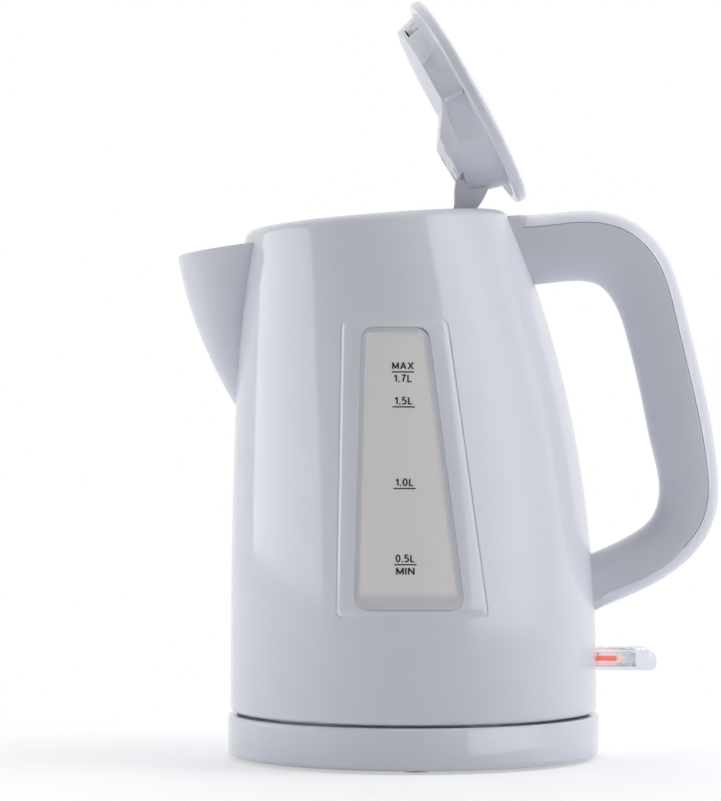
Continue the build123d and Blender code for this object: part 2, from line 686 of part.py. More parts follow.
def skirt_form(inset, floor):
    """Skirt under the lid: shallow at the spout, deep at the hinge, flat-sided."""
    top = LID_GAP + 0.5
    front = MOUTH_X - SKIRT_RADIUS - 1
    back = MOUTH_X + SKIRT_RADIUS + 1
    fall = 0.61
    step = SKIRT_STEP + 0.3 * inset
    profile = polygon(
        (front, top),
        (front, -SKIRT_FRONT + inset),
        (step, -SKIRT_FRONT + inset),
        (step + (floor - SKIRT_FRONT + inset) / fall, -floor),
        (back, -floor),
        (back, top),
    )
    reach = SKIRT_RADIUS - inset
    slope = SKIRT_DRAFT / (SKIRT_DEPTH + top)
    cone = polygon((0, top), (reach, top), (reach - slope * (floor + top), -floor), (0, -floor))
    round_form = Pos(MOUTH_X, 0, 0) * revolve(Plane.XZ * cone, Axis.Z)
    return side_slab(profile, SKIRT_HALF - inset) & round_form


def lid_screw_places():
    near_front = SKIRT_STEP + 18.5
    near_hinge = SKIRT_STEP + 27.5
    return [(near_front, -23.5), (near_front, 23.5), (near_hinge, -14.2), (near_hinge, 14.2)]


def lid_body():
    top = LID_GAP + 0.4
    body = pillar(LID_RADIUS - LID_RIM - RUN_FIT, top, top + 1.3, LID_X) + skirt_form(0, SKIRT_DEPTH)
    body = body - skirt_form(SKIRT_WALL, SKIRT_DEPTH + 1)
    for side in (-1, 1):
        body = body + Pos(MOUTH_X, side * (SKIRT_HALF + 0.3), -2.9) * Box(1.0, 2.6, 7.2)
        catch = Pos(MOUTH_X, 0, 0) * Rot(0, 0, 180 + 29 * side) * Pos(SKIRT_RADIUS - 1.5, 0, -4.6)
        body = body - catch * (Box(8, 7.4, 5.4) - Pos(0, 0, 0.5) * Box(9, 5.6, 4.6))
        body = body + catch * Pos(-0.3, 0, -1.1) * Box(2.2, 4.6, 1.6)
    for x, y in lid_screw_places():
        body = body + (pillar(3.0, -SKIRT_DEPTH + 1.5, top + 0.1, x, y) & skirt_form(0.5, SKIRT_DEPTH))
        body = body - pillar(1.2 + RUN_FIT, -SKIRT_DEPTH - 1, -2, x, y)
    return body


def lid_inner_plate():
    sheet = block(MOUTH_X, 60, 60, -SKIRT_DEPTH, -SKIRT_DEPTH + 1.5)
    plate = sheet & skirt_form(SKIRT_WALL + 0.1, SKIRT_DEPTH + 1)
    for x, y in lid_screw_places():
        plate = plate - pillar(1.2 + RUN_FIT, -50, 50, x, y)
    return plate


def lid_screws():
    screws = []
    for x, y in lid_screw_places():
        head = pillar(2.4, -SKIRT_DEPTH - 1.2, -SKIRT_DEPTH, x, y)
        screws.append(head + pillar(1.2, -SKIRT_DEPTH, -3, x, y))
    return screws


def turned(radius, angle):
    return HINGE_U + radius * cos(radians(angle)), HINGE_W + radius * sin(radians(angle))


def lid_hinge_bracket():
    low = -SKIRT_DEPTH
    drop = 2.0
    hump = polygon(
        (SKIRT_STEP + 10.7, low),
        (SKIRT_STEP + 12.2, low - drop),
        (HINGE_U - 30.3, low - drop),
        (HINGE_U - 30.3, low),
    )
    last = 244
    horn = ARM_OUTER + 4.2
    root = ARM_OUTER + 8.6
    outer = Spline(
        turned(root, 186), turned(horn, 197.6), turned(ARM_OUTER, 210.6),
        turned(ARM_OUTER - 0.2, 228), turned(ARM_OUTER - 0.2, last),
    )
    inner = Spline(
        turned(ARM_INNER, 236), turned(ARM_INNER, 210), turned(ARM_INNER, 190.7),
        turned(ARM_INNER + 1.8, 177.7), turned(ARM_INNER + 4.1, 171),
    )
    face = make_face([outer, Line(outer @ 1, inner @ 0), inner, Line(inner @ 1, outer @ 0)])
    web_inner = turned(ARM_INNER + 1, 229)
    web_outer = turned(ARM_OUTER - 1, last)
    web = polygon(turned(2.0, 190), web_inner, web_outer, turned(2.0, 320))
    arms = side_slab(face, ARM_HALF) + side_slab(web, ARM_HALF)
    arms = arms - side_slab(Pos(HINGE_U, HINGE_W) * Rectangle(90, 90), ARM_HALF - ARM_THICK)
    arms = arms - skirt_form(-RUN_FIT, SKIRT_DEPTH)
    bracket = arms + side_slab(hump, ARM_HALF) + rod_y(BARREL_RADIUS, HINGE_U, HINGE_W, ARM_HALF)
    return bracket - rod_y(HINGE_PIN + RUN_FIT, HINGE_U, HINGE_W, ARM_HALF + 1)


def save(name, shape):
    export_step(Pos(ROW_SHIFT, 0, 0) * shape, "parts/" + name + ".step")


def main():
    os.makedirs("parts", exist_ok=True)
    shell = jug_outer()
    core, cover, handle_screws = handle_parts(shell)
    save("base_top_cover", base_top_cover())
    save("base_bottom_plate", base_bottom_plate())
    save("base_connector", base_connector())
    save("base_contacts", base_contacts())
    save("base_feet", base_feet())
    save("base_screws", base_screws())
    save("jug_body", jug_body(shell))
    save("water_window", water_window())
    save("bottom_cover", bottom_cover())
    save("bottom_screws", bottom_screws())
    save("heating_plate", pillar(PLATE_RADIUS, PLATE_Z, PLATE_TOP))
    save("plate_seal", tube(PLATE_RADIUS, PLATE_HOLE, PLATE_TOP, FLOOR_Z))
    save("heat_spreader", pillar(PLATE_RADIUS - 8, SPREADER_Z, PLATE_Z))
    save("heating_element", heating_element())
    save("plate_clamp_ring", plate_clamp_ring())
    save("clamp_screws", clamp_screws())
    save("control_housing", control_housing())
    save("connector_pins", connector_pins())
    save("dry_boil_discs", dry_boil_discs())
    save("steam_bimetal", steam_bimetal())
    save("contact_leaf", contact_leaf())
    save("contact_slider", contact_slider())
    save("switch_lever", switch_lever())
    save("lever_pin", rod_y(HINGE_PIN, LEVER_X, LEVER_Z, LEVER_HALF + 2))
    save("neon_lamp", neon_lamp())
    save("steam_tube", steam_pipe(4.0) - steam_pipe(2.8))
    save("handle_core", core)
    save("handle_cover", cover)
    save("handle_screws", handle_screws)
    save("hinge_pin", rod_y(HINGE_PIN, HINGE_X, HINGE_Z, ARM_HALF + 4.0))
    save("filter_frame", filter_frame())
    save("filter_mesh", filter_mesh())
    save("lid_cover", opened(lid_cover()))
    save("lid_body", opened(lid_body()))
    save("lid_inner_plate", opened(lid_inner_plate()))
    save("lid_hinge_bracket", opened(lid_hinge_bracket()))
    save("lid_screws", group([opened(screw) for screw in lid_screws()]))


if __name__ == "__main__":
    main()
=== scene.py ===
from contextlib import contextmanager
from math import acos, atan2, cos, degrees, pi, radians, sin, sqrt, tan

import bmesh
import bpy
import numpy as np
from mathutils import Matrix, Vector


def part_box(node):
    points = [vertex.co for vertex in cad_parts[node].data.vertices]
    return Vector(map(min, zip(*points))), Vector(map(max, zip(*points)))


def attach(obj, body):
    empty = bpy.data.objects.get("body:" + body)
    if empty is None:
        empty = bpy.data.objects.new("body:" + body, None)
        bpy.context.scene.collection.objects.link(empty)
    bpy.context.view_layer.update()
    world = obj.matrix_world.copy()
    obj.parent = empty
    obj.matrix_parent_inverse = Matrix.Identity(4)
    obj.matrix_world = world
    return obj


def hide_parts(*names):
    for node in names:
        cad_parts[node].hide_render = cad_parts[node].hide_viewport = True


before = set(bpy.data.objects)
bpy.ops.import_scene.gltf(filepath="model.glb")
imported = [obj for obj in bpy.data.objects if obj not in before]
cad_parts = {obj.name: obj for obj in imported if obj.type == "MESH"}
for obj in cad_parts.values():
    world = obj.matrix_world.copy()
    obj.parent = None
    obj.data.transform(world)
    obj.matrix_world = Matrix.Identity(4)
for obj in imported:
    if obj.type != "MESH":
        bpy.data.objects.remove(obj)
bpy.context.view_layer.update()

# Sizes are in millimetres, around the upright axis of the power base, as the
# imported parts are. Meshes are written in metres.
MM = 0.001
MERGE = 2e-6
base_low, base_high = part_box("base_top_cover")
AXIS_X = (base_low.x + base_high.x) / 2 / MM

FOOT_Z = 19.5
JUG_RISE = 208.5
JUG_FOOT_RADIUS = 77.5
JUG_TAPER = 22.0
JUG_LEAN = 15.0
JUG_CURVE = 2.4
WALL = 3.0
FOOT_ROUND = 2.2
RIM_Z = FOOT_Z + JUG_RISE
RIM_TILT = radians(4.44)
RIM_THICK = 3.0
SHOULDER_ROUND = 5.0
MOUTH_X = -21.9
MOUTH_RADIUS = 42.8
NOTCH_REACH = 47.3
NOTCH_HALF = 10.5
FLOOR_TOP = 56.0
FLOOR_LOW = 53.0
PLATE_HOLE = 55.5

LEVER_SLOT = ((69.5, -10.8, 35.9), (102.5, 10.8, 50.2))

SPOUT_ROOT_Z = 148.353
SPOUT_RISE = 63.3
SPOUT_REACH = 24.4
SPOUT_BELLY = 14.1
SPOUT_ROOT_RADIUS = 4.2
SPOUT_FLARE = 0.3
SPOUT_WALL = 2.4
SPOUT_LIP_TILT = radians(8.3)
LIP_SEARCH = (0.5, 1.6)

PANEL_LOW = 63.4
PANEL_HIGH = 181.9
PANEL_HALF_LOW = 30.3
PANEL_HALF_HIGH = 21.19
PANEL_SHIFT_LOW = -1.27
PANEL_SHIFT_HIGH = -0.4
PANEL_LEAN = 0.125
PANEL_RISE = 0.8
PANE_SIDE = 7.9
PANE_END = 2.4
PANE_BORDER = 2.3
PANE_STEP = 0.4
PANE_CORNER = 5.2
FIELD_CORNER = 3.6
SHELF_CORNER = 3.9
FLANGE_SIDE = 2.5
FLANGE_END = 1.9
FLANGE_CORNER = 6.0
PANE_DEPTH = 0.1
PANE_BACK = WALL + 1.6

HINGE_X = 38.556
HINGE_Z = 219.9
LID_OPEN = radians(65.6)
LID_X = -19.8
LID_RADIUS = 47.7
LID_GAP = 0.5
LID_EDGE = 4.8
LID_DOME = 4.6
LID_WALL = 2.2
LID_RIM = 4.05
LID_FLAT = 34.15
LID_SKIRT = 40.9
LID_DRAFT = 0.2692
LID_DEPTH = 14.6
BELLY_DROP = 2.1
HIP_STEPS = 12
# First and last place of the hip's edges: along the lid and its height, along
# the lid and how far inside its wall
HIP_TOP = ((-22.4, -8.8), (5.0, -12.6))
HIP_FOOT = ((-10.2, 4.0), (7.5, 0.4))
WELL_RADIUS = 2.8
LID_SCREW_PLACES = ((-4.0, -23.5), (-4.0, 23.5), (5.0, -14.2), (5.0, 14.2))

HANDLE_HALF = 14.5
COVER_DEPTH = 5.9
COVER_GAP = 0.06
COVER_ROLL = 10.5
COVER_START_X = 45.6
COVER_STOP_X = 78.7
HANDLE_STEPS = 110


# Mesh making

def metres(points):
    return [((p[0] + AXIS_X) * MM, p[1] * MM, p[2] * MM) for p in points]


@contextmanager
def mesh_work(mesh):
    work = bmesh.new()
    work.from_mesh(mesh)
    yield work
    work.to_mesh(mesh)
    work.free()


def finish_mesh(mesh, crease=35):
    with mesh_work(mesh) as work:
        bmesh.ops.remove_doubles(work, verts=work.verts, dist=MERGE)
        bmesh.ops.dissolve_degenerate(work, edges=work.edges, dist=MERGE / 2)
        bmesh.ops.recalc_face_normals(work, faces=work.faces)
    mesh.shade_smooth()
    mesh.set_sharp_from_angle(angle=radians(crease))


def linked(name, data):
    made = bpy.data.objects.new(name, data)
    bpy.context.scene.collection.objects.link(made)
    return made


def shape(name, points, faces, crease=35):
    mesh = bpy.data.meshes.new(name)
    mesh.from_pydata(metres(points), [], faces)
    finish_mesh(mesh, crease)
    return linked(name, mesh)


def evaluated(made):
    graph = bpy.context.evaluated_depsgraph_get()
    mesh = bpy.data.meshes.new_from_object(made.evaluated_get(graph))
    made.modifiers.clear()
    old = made.data
    made.data = mesh
    mesh.name = made.name
    bpy.data.meshes.remove(old)
    return made


def combine(target, tool, operation):
    step = target.modifiers.new(operation, "BOOLEAN")
    step.operation = operation
    step.solver = "EXACT"
    step.object = tool
    evaluated(target)
    bpy.data.objects.remove(tool)
    return target


def mount(made, body, finish, slot, *nodes):
    made.data.materials.clear()
    made.data.materials.append(finish)
    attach(made, body)
    if nodes:
        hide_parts(*nodes)
    return made


def numbered(points, spots):
    """Adds the spots to the points and returns their numbers."""
    first = len(points)
    points.extend(spots)
    return list(range(first, len(points)))


def join_grid(rows, closed_rows, closed_columns):
    """Quads over a list of rows of point numbers."""
    faces = []
    row_pairs = len(rows) if closed_rows else len(rows) - 1
    for r in range(row_pairs):
        low = rows[r]
        high = rows[(r + 1) % len(rows)]
        steps = len(low) if closed_columns else len(low) - 1
        for c in range(steps):
            d = (c + 1) % len(low)
            faces.append((low[c], low[d], high[d], high[c]))
    return faces


def turned(profile, steps):
    """Points and faces of a closed profile of (radius, height) turned about Z."""
    points = []
    rows = []
    for s in range(steps):
        angle = 2 * pi * s / steps
        rows.append(numbered(points, [(r * cos(angle), r * sin(angle), height) for r, height in profile]))
    return points, join_grid(rows, True, True)


def arc_points(centre, radius, first, last, steps):
    spots = []
    for s in range(steps + 1):
        angle = radians(first + (last - first) * s / steps)
        spots.append((centre[0] + radius * cos(angle), centre[1] + radius * sin(angle)))
    return spots


# Jug surfaces

def jug_share(z):
    return max(0.0, (z - FOOT_Z) / JUG_RISE) ** JUG_CURVE


def jug_centre(z):
    return -JUG_LEAN * jug_share(z)


def jug_radius(z):
    return JUG_FOOT_RADIUS - JUG_TAPER * jug_share(z)


def wall_point(angle, z, inset=0.0):
    radius = jug_radius(z) - inset
    return Vector((jug_centre(z) + radius * cos(angle), radius * sin(angle), z))


def wall_normal(angle, z):
    along = wall_point(angle, z + 0.5) - wall_point(angle, z - 0.5)
    around = Vector((-sin(angle), cos(angle), 0))
    return around.cross(along).normalized()


def front_point(x, z, inset):
    radius = jug_radius(z) - inset
    return Vector((x, -sqrt(max(0.0, radius * radius - (x - jug_centre(z)) ** 2)), z))


def wall_x(y, z, inset):
    radius = jug_radius(z) - inset
    return jug_centre(z) + sqrt(max(0.0, radius * radius - y * y))


RIM_U = Vector((cos(RIM_TILT), 0, sin(RIM_TILT)))
RIM_N = Vector((-sin(RIM_TILT), 0, cos(RIM_TILT)))
RIM_MIDDLE = Vector((0, 0, RIM_Z))


def rim_height(point):
    return (point - RIM_MIDDLE).dot(RIM_N)


def rim_point(u, v, w):
    return RIM_MIDDLE + RIM_U * u + Vector((0, v, 0)) + RIM_N * w


def solve(value, low, high):
    """Where a rising function crosses zero."""
    for _ in range(50):
        middle = (low + high) / 2
        if value(middle) < 0:
            low = middle
        else:
            high = middle
    return (low + high) / 2


# Grid of the jug's shell: rows and columns, the zone of them that the window
# takes up, and the heights between which the rim lies
WALL_ROWS = 80
INNER_ROWS = 65
SHOULDER_STEPS = 8
COLUMNS = 240
ZONE_LEFT = 160
ZONE_RIGHT = 200
ZONE_LOW = 14
ZONE_ROWS = 54
INNER_ZONE_LOW = 1
RIM_SEARCH = (190, 240)


def mouth_radius(angle):
    """The mouth is round, with a square notch at the back for the hinge arms."""
    reach = MOUTH_RADIUS
    if cos(angle) > 0.2:
        side = NOTCH_HALF / max(1e-6, abs(sin(angle)))
        reach = max(reach, min(NOTCH_REACH / cos(angle), side))
    return reach


def mouth_point(angle, out, w):
    reach = mouth_radius(angle) + out
    return rim_point(MOUTH_X + reach * cos(angle), reach * sin(angle), w)


def jug_column(angle):
    """One upright slice through the shell: up the outside, over the rim and
    down the inside. Returns the points and where the two walls start."""
    foot = FOOT_Z + FOOT_ROUND
    column = [wall_point(angle, FOOT_Z, WALL)]
    for s in range(5):
        turn = radians(-90 + 90 * s / 5)
        inset = FOOT_ROUND * (1 - cos(turn))
        column.append(wall_point(angle, foot + FOOT_ROUND * sin(turn), inset))
    outer_start = len(column)

    def above_shoulder(z):
        return rim_height(wall_point(angle, z) - SHOULDER_ROUND * wall_normal(angle, z)) + SHOULDER_ROUND

    top = solve(above_shoulder, *RIM_SEARCH)
    for k in range(WALL_ROWS + 1):
        column.append(wall_point(angle, foot + (top - foot) * k / WALL_ROWS))
    side = wall_normal(angle, top)
    ball = wall_point(angle, top) - SHOULDER_ROUND * side
    spread = acos(max(-1.0, min(1.0, side.dot(RIM_N))))
    for s in range(1, SHOULDER_STEPS + 1):
        t = s / SHOULDER_STEPS
        way = (side * sin((1 - t) * spread) + RIM_N * sin(t * spread)) / sin(spread)
        column.append(ball + SHOULDER_ROUND * way)
    edge = 0.6
    start = column[-1]
    stop = mouth_point(angle, edge, 0)
    for s in (0.33, 0.67, 1.0):
        column.append(start.lerp(stop, s))
    for turn in (30, 60, 90):
        out = edge * (1 - sin(radians(turn)))
        column.append(mouth_point(angle, out, -edge * (1 - cos(radians(turn)))))
    under = 0.4
    column.append(mouth_point(angle, 0, -RIM_THICK + under))
    column.append(mouth_point(angle, under, -RIM_THICK))
    inner_top = solve(lambda z: rim_height(wall_point(angle, z, WALL)) + RIM_THICK, *RIM_SEARCH)
    inner_start = len(column)
    for k in range(INNER_ROWS + 1):
        z = FLOOR_TOP + (inner_top - FLOOR_TOP) * (1 - k / INNER_ROWS)
        column.append(wall_point(angle, z, WALL))
    for z in (FLOOR_TOP, FLOOR_LOW):
        column.append(Vector((PLATE_HOLE * cos(angle), PLATE_HOLE * sin(angle), z)))
    for s in range(4):
        z = FLOOR_LOW + (FOOT_Z - FLOOR_LOW) * s / 4
        column.append(wall_point(angle, z, WALL))
    return column, outer_start, inner_start


def window_edges(z, side_margin):
    """The window's left and right edge at a height, a margin inside its panel."""
    share = (z - PANEL_LOW) / (PANEL_HIGH - PANEL_LOW)
    low = jug_centre(PANEL_LOW) + PANEL_SHIFT_LOW - PANEL_LEAN * side_margin
    high = jug_centre(PANEL_HIGH) + PANEL_SHIFT_HIGH
    middle = low + (high - low) * share
    half = PANEL_HALF_LOW + (PANEL_HALF_HIGH - PANEL_HALF_LOW) * share - side_margin
    return middle - half, middle + half


def trapezoid_side(side_margin, end_margin, corner, side, share):
    """A place on the window's outline. The four sides run anticlockwise from the
    lower left, each from the middle of one round corner to the next."""
    low = PANEL_LOW + end_margin
    high = PANEL_HIGH - end_margin
    left_low, right_low = window_edges(low, side_margin)
    left_high, right_high = window_edges(high, side_margin)
    spots = [
        Vector((left_low, low)), Vector((right_low, low)),
        Vector((right_high, high)), Vector((left_high, high)),
    ]
    line = []
    for end in (0, 1):
        here = spots[(side + end) % 4]
        back = (spots[(side + end - 1) % 4] - here).normalized()
        ahead = (spots[(side + end + 1) % 4] - here).normalized()
        half = acos(max(-1.0, min(1.0, back.dot(ahead)))) / 2
        middle = here + (back + ahead).normalized() * (corner / sin(half))
        first = here + back * (corner / tan(half)) - middle
        last = here + ahead * (corner / tan(half)) - middle
        turn = first.angle_signed(last) * -1
        for s in range(9):
            share_here = (0.5 + s / 16) if end == 0 else s / 16
            angle = turn * share_here
            line.append(middle + Vector((
                first.x * cos(angle) - first.y * sin(angle),
                first.x * sin(angle) + first.y * cos(angle),
            )))
    lengths = [0.0]
    for before, after in zip(line, line[1:]):
        lengths.append(lengths[-1] + (after - before).length)
    goal = lengths[-1] * share
    for i in range(len(line) - 1):
        if goal <= lengths[i + 1] or i == len(line) - 2:
            span = max(1e-9, lengths[i + 1] - lengths[i])
            return line[i].lerp(line[i + 1], (goal - lengths[i]) / span)


def corner_heavy(share):
    """Draws the steps along a side together towards its corners."""
    return share - 0.6 * sin(2 * pi * share) / (2 * pi)


# The raised panel round the window: margins at the sides and ends, corner, and
# depths at the sides, where a fine groove runs along it, and at the ends
WINDOW_STEPS = (
    (-1.8, -2.0, 3.0, 0.0, 0.0),
    (-0.62, -1.0, 2.5, 0.0, 0.0),
    (-0.36, -0.7, 2.3, 0.2, -0.02),
    (-0.08, -0.4, 2.2, 0.24, -0.05),
    (0.10, 0.0, 2.1, 0.05, -0.1),
    (0.62, 0.7, 2.0, 0.18 - PANEL_RISE, -0.24),
    (0.92, 1.1, 2.0, 0.04 - PANEL_RISE, -0.33),
    (1.35, 1.5, 2.2, -PANEL_RISE, -0.4),
    (4.0, 1.7, 4.0, -PANEL_RISE, -0.42),
    (PANE_SIDE - 0.6, PANE_END - 0.6, 5.2, -PANEL_RISE, -0.42),
    (PANE_SIDE - 0.2, PANE_END - 0.2, 5.2, 0.04 - PANEL_RISE, -0.4),
    (PANE_SIDE - 0.04, PANE_END - 0.04, 5.2, 0.2 - PANEL_RISE, -0.3),
    (PANE_SIDE - 0.04, PANE_END - 0.04, 5.2, WALL, WALL),
    (5.0, 0.5, 5.0, WALL, WALL),
)


def step_depth(step, side, along):
    """The depth on a window step: its two end sides run softly into the wall."""
    if side in (1, 3):
        return step[3]
    soft = 0.2
    share = min(1.0, min(along, 1 - along) / soft)
    return step[3] + (step[4] - step[3]) * share * share * (3 - 2 * share)


def zone_border(numbers, row_low):
    """The rim of the window zone in the grid, with the side and share of each."""
    border = []
    width = ZONE_RIGHT - ZONE_LEFT
    walks = (
        (ZONE_LEFT, 0, 1, 0, width), (ZONE_RIGHT, 0, 0, 1, ZONE_ROWS),
        (ZONE_RIGHT, ZONE_ROWS, -1, 0, width), (ZONE_LEFT, ZONE_ROWS, 0, -1, ZONE_ROWS),
    )
    for side, (column, row, right, up, steps) in enumerate(walks):
        for k in range(steps):
            border.append((numbers[column + right * k][row_low(row + up * k)], side, k / steps))
    return border


def jug_shell():
    points = []
    numbers = []
    for c in range(COLUMNS):
        column, outer_start, inner_start = jug_column(2 * pi * c / COLUMNS)
        numbers.append(numbered(points, column))
    height = len(numbers[0])
    outer_low = outer_start + ZONE_LOW
    inner_high = inner_start + INNER_ROWS - INNER_ZONE_LOW
    faces = []
    for c in range(COLUMNS):
        d = (c + 1) % COLUMNS
        in_zone = ZONE_LEFT <= c < ZONE_RIGHT
        for r in range(height):
            s = (r + 1) % height
            if in_zone and outer_low <= r < outer_low + ZONE_ROWS:
                continue
            if in_zone and inner_high - ZONE_ROWS <= r < inner_high:
                continue
            faces.append((numbers[c][r], numbers[d][r], numbers[d][s], numbers[c][s]))
    outer = zone_border(numbers, lambda r: outer_low + r)
    inner = zone_border(numbers, lambda r: inner_high - r)
    loops = [[number for number, _, _ in outer]]

    def add_loop(border, step, share=1.0):
        """Adds a loop on a window step, or a share of the way to it from the grid."""
        spots = []
        for number, side, along in border:
            here = trapezoid_side(*step[:3], side, corner_heavy(along))
            x = points[number].x + (here.x - points[number].x) * share
            z = points[number].z + (here.y - points[number].z) * share
            spots.append(front_point(x, z, step_depth(step, side, along)))
        loops.append(numbered(points, spots))

    for share in (0.35, 0.7):
        add_loop(outer, WINDOW_STEPS[0], share)
    for step in WINDOW_STEPS:
        add_loop(outer, step)
    for share in (0.65, 0.3):
        add_loop(inner, WINDOW_STEPS[-1], share)
    loops.append([number for number, _, _ in inner])
    faces += join_grid(loops, False, True)
    return shape("jug_shell", points, faces)


# Spout

def spout_place(share, inset):
    z = SPOUT_ROOT_Z + SPOUT_RISE * share
    root = jug_centre(SPOUT_ROOT_Z) - jug_radius(SPOUT_ROOT_Z)
    tip = root - SPOUT_REACH * share - SPOUT_BELLY * share * (1 - share)
    radius = SPOUT_ROOT_RADIUS + SPOUT_FLARE * SPOUT_RISE * max(share, -0.02)
    return tip + radius, radius - inset, z


def spout_point(angle, share, inset):
    middle, radius, z = spout_place(share, inset)
    return Vector((middle + radius * cos(angle), radius * sin(angle), z))


def lip_share(angle, inset, drop=0.0):
    """How far up the spout its slanted lip lies."""
    tip = spout_point(pi, 1.0, 0)

    def above(share):
        spot = spout_point(angle, share, inset)
        return spot.z + drop - tip.z - (spot.x - tip.x) * tan(SPOUT_LIP_TILT)

    return solve(above, *LIP_SEARCH)


def spout_tube():
    """Each slice goes up the outside, over the rounded lip and down the inside."""
    points = []
    rows = []
    steps = 30
    columns = 120
    below = 0.05
    lip = 0.5
    for c in range(columns):
        angle = 2 * pi * c / columns
        outer_top = lip_share(angle, 0, lip)
        inner_top = lip_share(angle, SPOUT_WALL, lip)
        up = range(steps + 1)
        slice_points = [spout_point(angle, -below + (outer_top + below) * s / steps, 0) for s in up]
        for inset in (lip, SPOUT_WALL - lip):
            slice_points.append(spout_point(angle, lip_share(angle, inset), inset))
        slice_points += [spout_point(angle, inner_top - (inner_top + below) * s / steps, SPOUT_WALL) for s in up]
        rows.append(numbered(points, slice_points))
    return shape("spout_tube", points, join_grid(rows, True, True))


def capped_stack(name, rings, crease=35):
    """A closed solid through a stack of equal rings of points."""
    points = []
    rows = []
    for ring in rings:
        rows.append(numbered(points, ring))
    faces = join_grid(rows, False, True) + [tuple(reversed(rows[0])), tuple(rows[-1])]
    return shape(name, points, faces, crease)


def jug_core():
    """The room inside the jug, out to the middle of its wall."""
    columns = 160
    rise = 4.7
    rings = []
    for s in range(50):
        rings.append([wall_point(2 * pi * c / columns, FOOT_Z + rise * s, WALL / 2) for c in range(columns)])
    return capped_stack("jug_core", rings)


def pour_core():
    """The channel inside the spout."""
    columns = 96
    inset = SPOUT_WALL + 0.15
    rings = []
    for s in range(25):
        share = -0.04 + 0.97 * s / 24
        rings.append([spout_point(2 * pi * c / columns, share, inset) for c in range(columns)])
    return capped_stack("pour_core", rings)


def block(name, low, high):
    corners = [(x, y, z) for x in (low[0], high[0]) for y in (low[1], high[1]) for z in (low[2], high[2])]
    faces = [(0, 1, 3, 2), (4, 6, 7, 5), (0, 4, 5, 1), (2, 3, 7, 6), (0, 2, 6, 4), (1, 5, 7, 3)]
    return shape(name, corners, faces)


def jug_and_spout():
    spout = combine(spout_tube(), jug_core(), "DIFFERENCE")
    jug = combine(jug_shell(), pour_core(), "DIFFERENCE")
    combine(jug, block("lever_slot", *LEVER_SLOT), "DIFFERENCE")
    combine(jug, spout, "UNION")
    finish_mesh(jug.data, 30)
    return jug


# Materials

def linear(hex_colour):
    channels = []
    for i in (0, 2, 4):
        value = int(hex_colour[i:i + 2], 16) / 255
        channels.append(value / 12.92 if value <= 0.04045 else ((value + 0.055) / 1.055) ** 2.4)
    return (*channels, 1.0)


def add_node(tree, kind, inputs=(), **settings):
    """Adds a node. An input takes a plain value, a socket, a node, which stands
    for its first output, or a list of nodes or sockets."""
    made = tree.nodes.new(kind)
    for key, value in settings.items():
        setattr(made, key, value)
    for key, feed in dict(inputs).items():
        for one in feed if isinstance(feed, list) else [feed]:
            if isinstance(one, bpy.types.Node):
                one = one.outputs[0]
            if isinstance(one, bpy.types.NodeSocket):
                tree.links.new(one, made.inputs[key])
            else:
                made.inputs[key].default_value = one
    return made


def new_finish(name):
    finish = bpy.data.materials.new(name)
    finish.use_nodes = True
    tree = finish.node_tree
    tree.nodes.clear()
    place = add_node(tree, "ShaderNodeTexCoord").outputs["Object"]
    return finish, tree, place


def uneven(tree, place, size_mm, detail, low, high):
    """A noise with cells of a real size, and a value that follows it between two limits."""
    noise = add_node(tree, "ShaderNodeTexNoise", {"Scale": 1000 / size_mm, "Detail": detail, "Vector": place})
    return noise, add_node(tree, "ShaderNodeMapRange", {"To Min": low, "To Max": high, "Value": noise})


CLOUD_MM = 28.0


def moulded_plastic(name, colour, shade, smooth, rough, peel_mm, peel_height_mm, ior):
    """Moulded thermoplastic: a slight cloudiness of colour and gloss, and the
    faint ripple of the mould surface that shows in its reflections."""
    finish, tree, place = new_finish(name)
    cloud, gloss = uneven(tree, place, CLOUD_MM, 3.0, smooth, rough)
    tint = add_node(tree, "ShaderNodeMix", {6: linear(colour), 7: linear(shade), 0: cloud}, data_type="RGBA")
    peel = add_node(tree, "ShaderNodeTexNoise", {"Scale": 1000 / peel_mm, "Detail": 2.0, "Vector": place})
    bump = add_node(tree, "ShaderNodeBump", {"Strength": 1.0, "Distance": peel_height_mm * MM, "Height": peel})
    shader = add_node(tree, "ShaderNodeBsdfPrincipled", {
        "IOR": ior, "Base Color": tint.outputs[2], "Roughness": gloss, "Normal": bump,
    })
    add_node(tree, "ShaderNodeOutputMaterial", {"Surface": shader})
    return finish


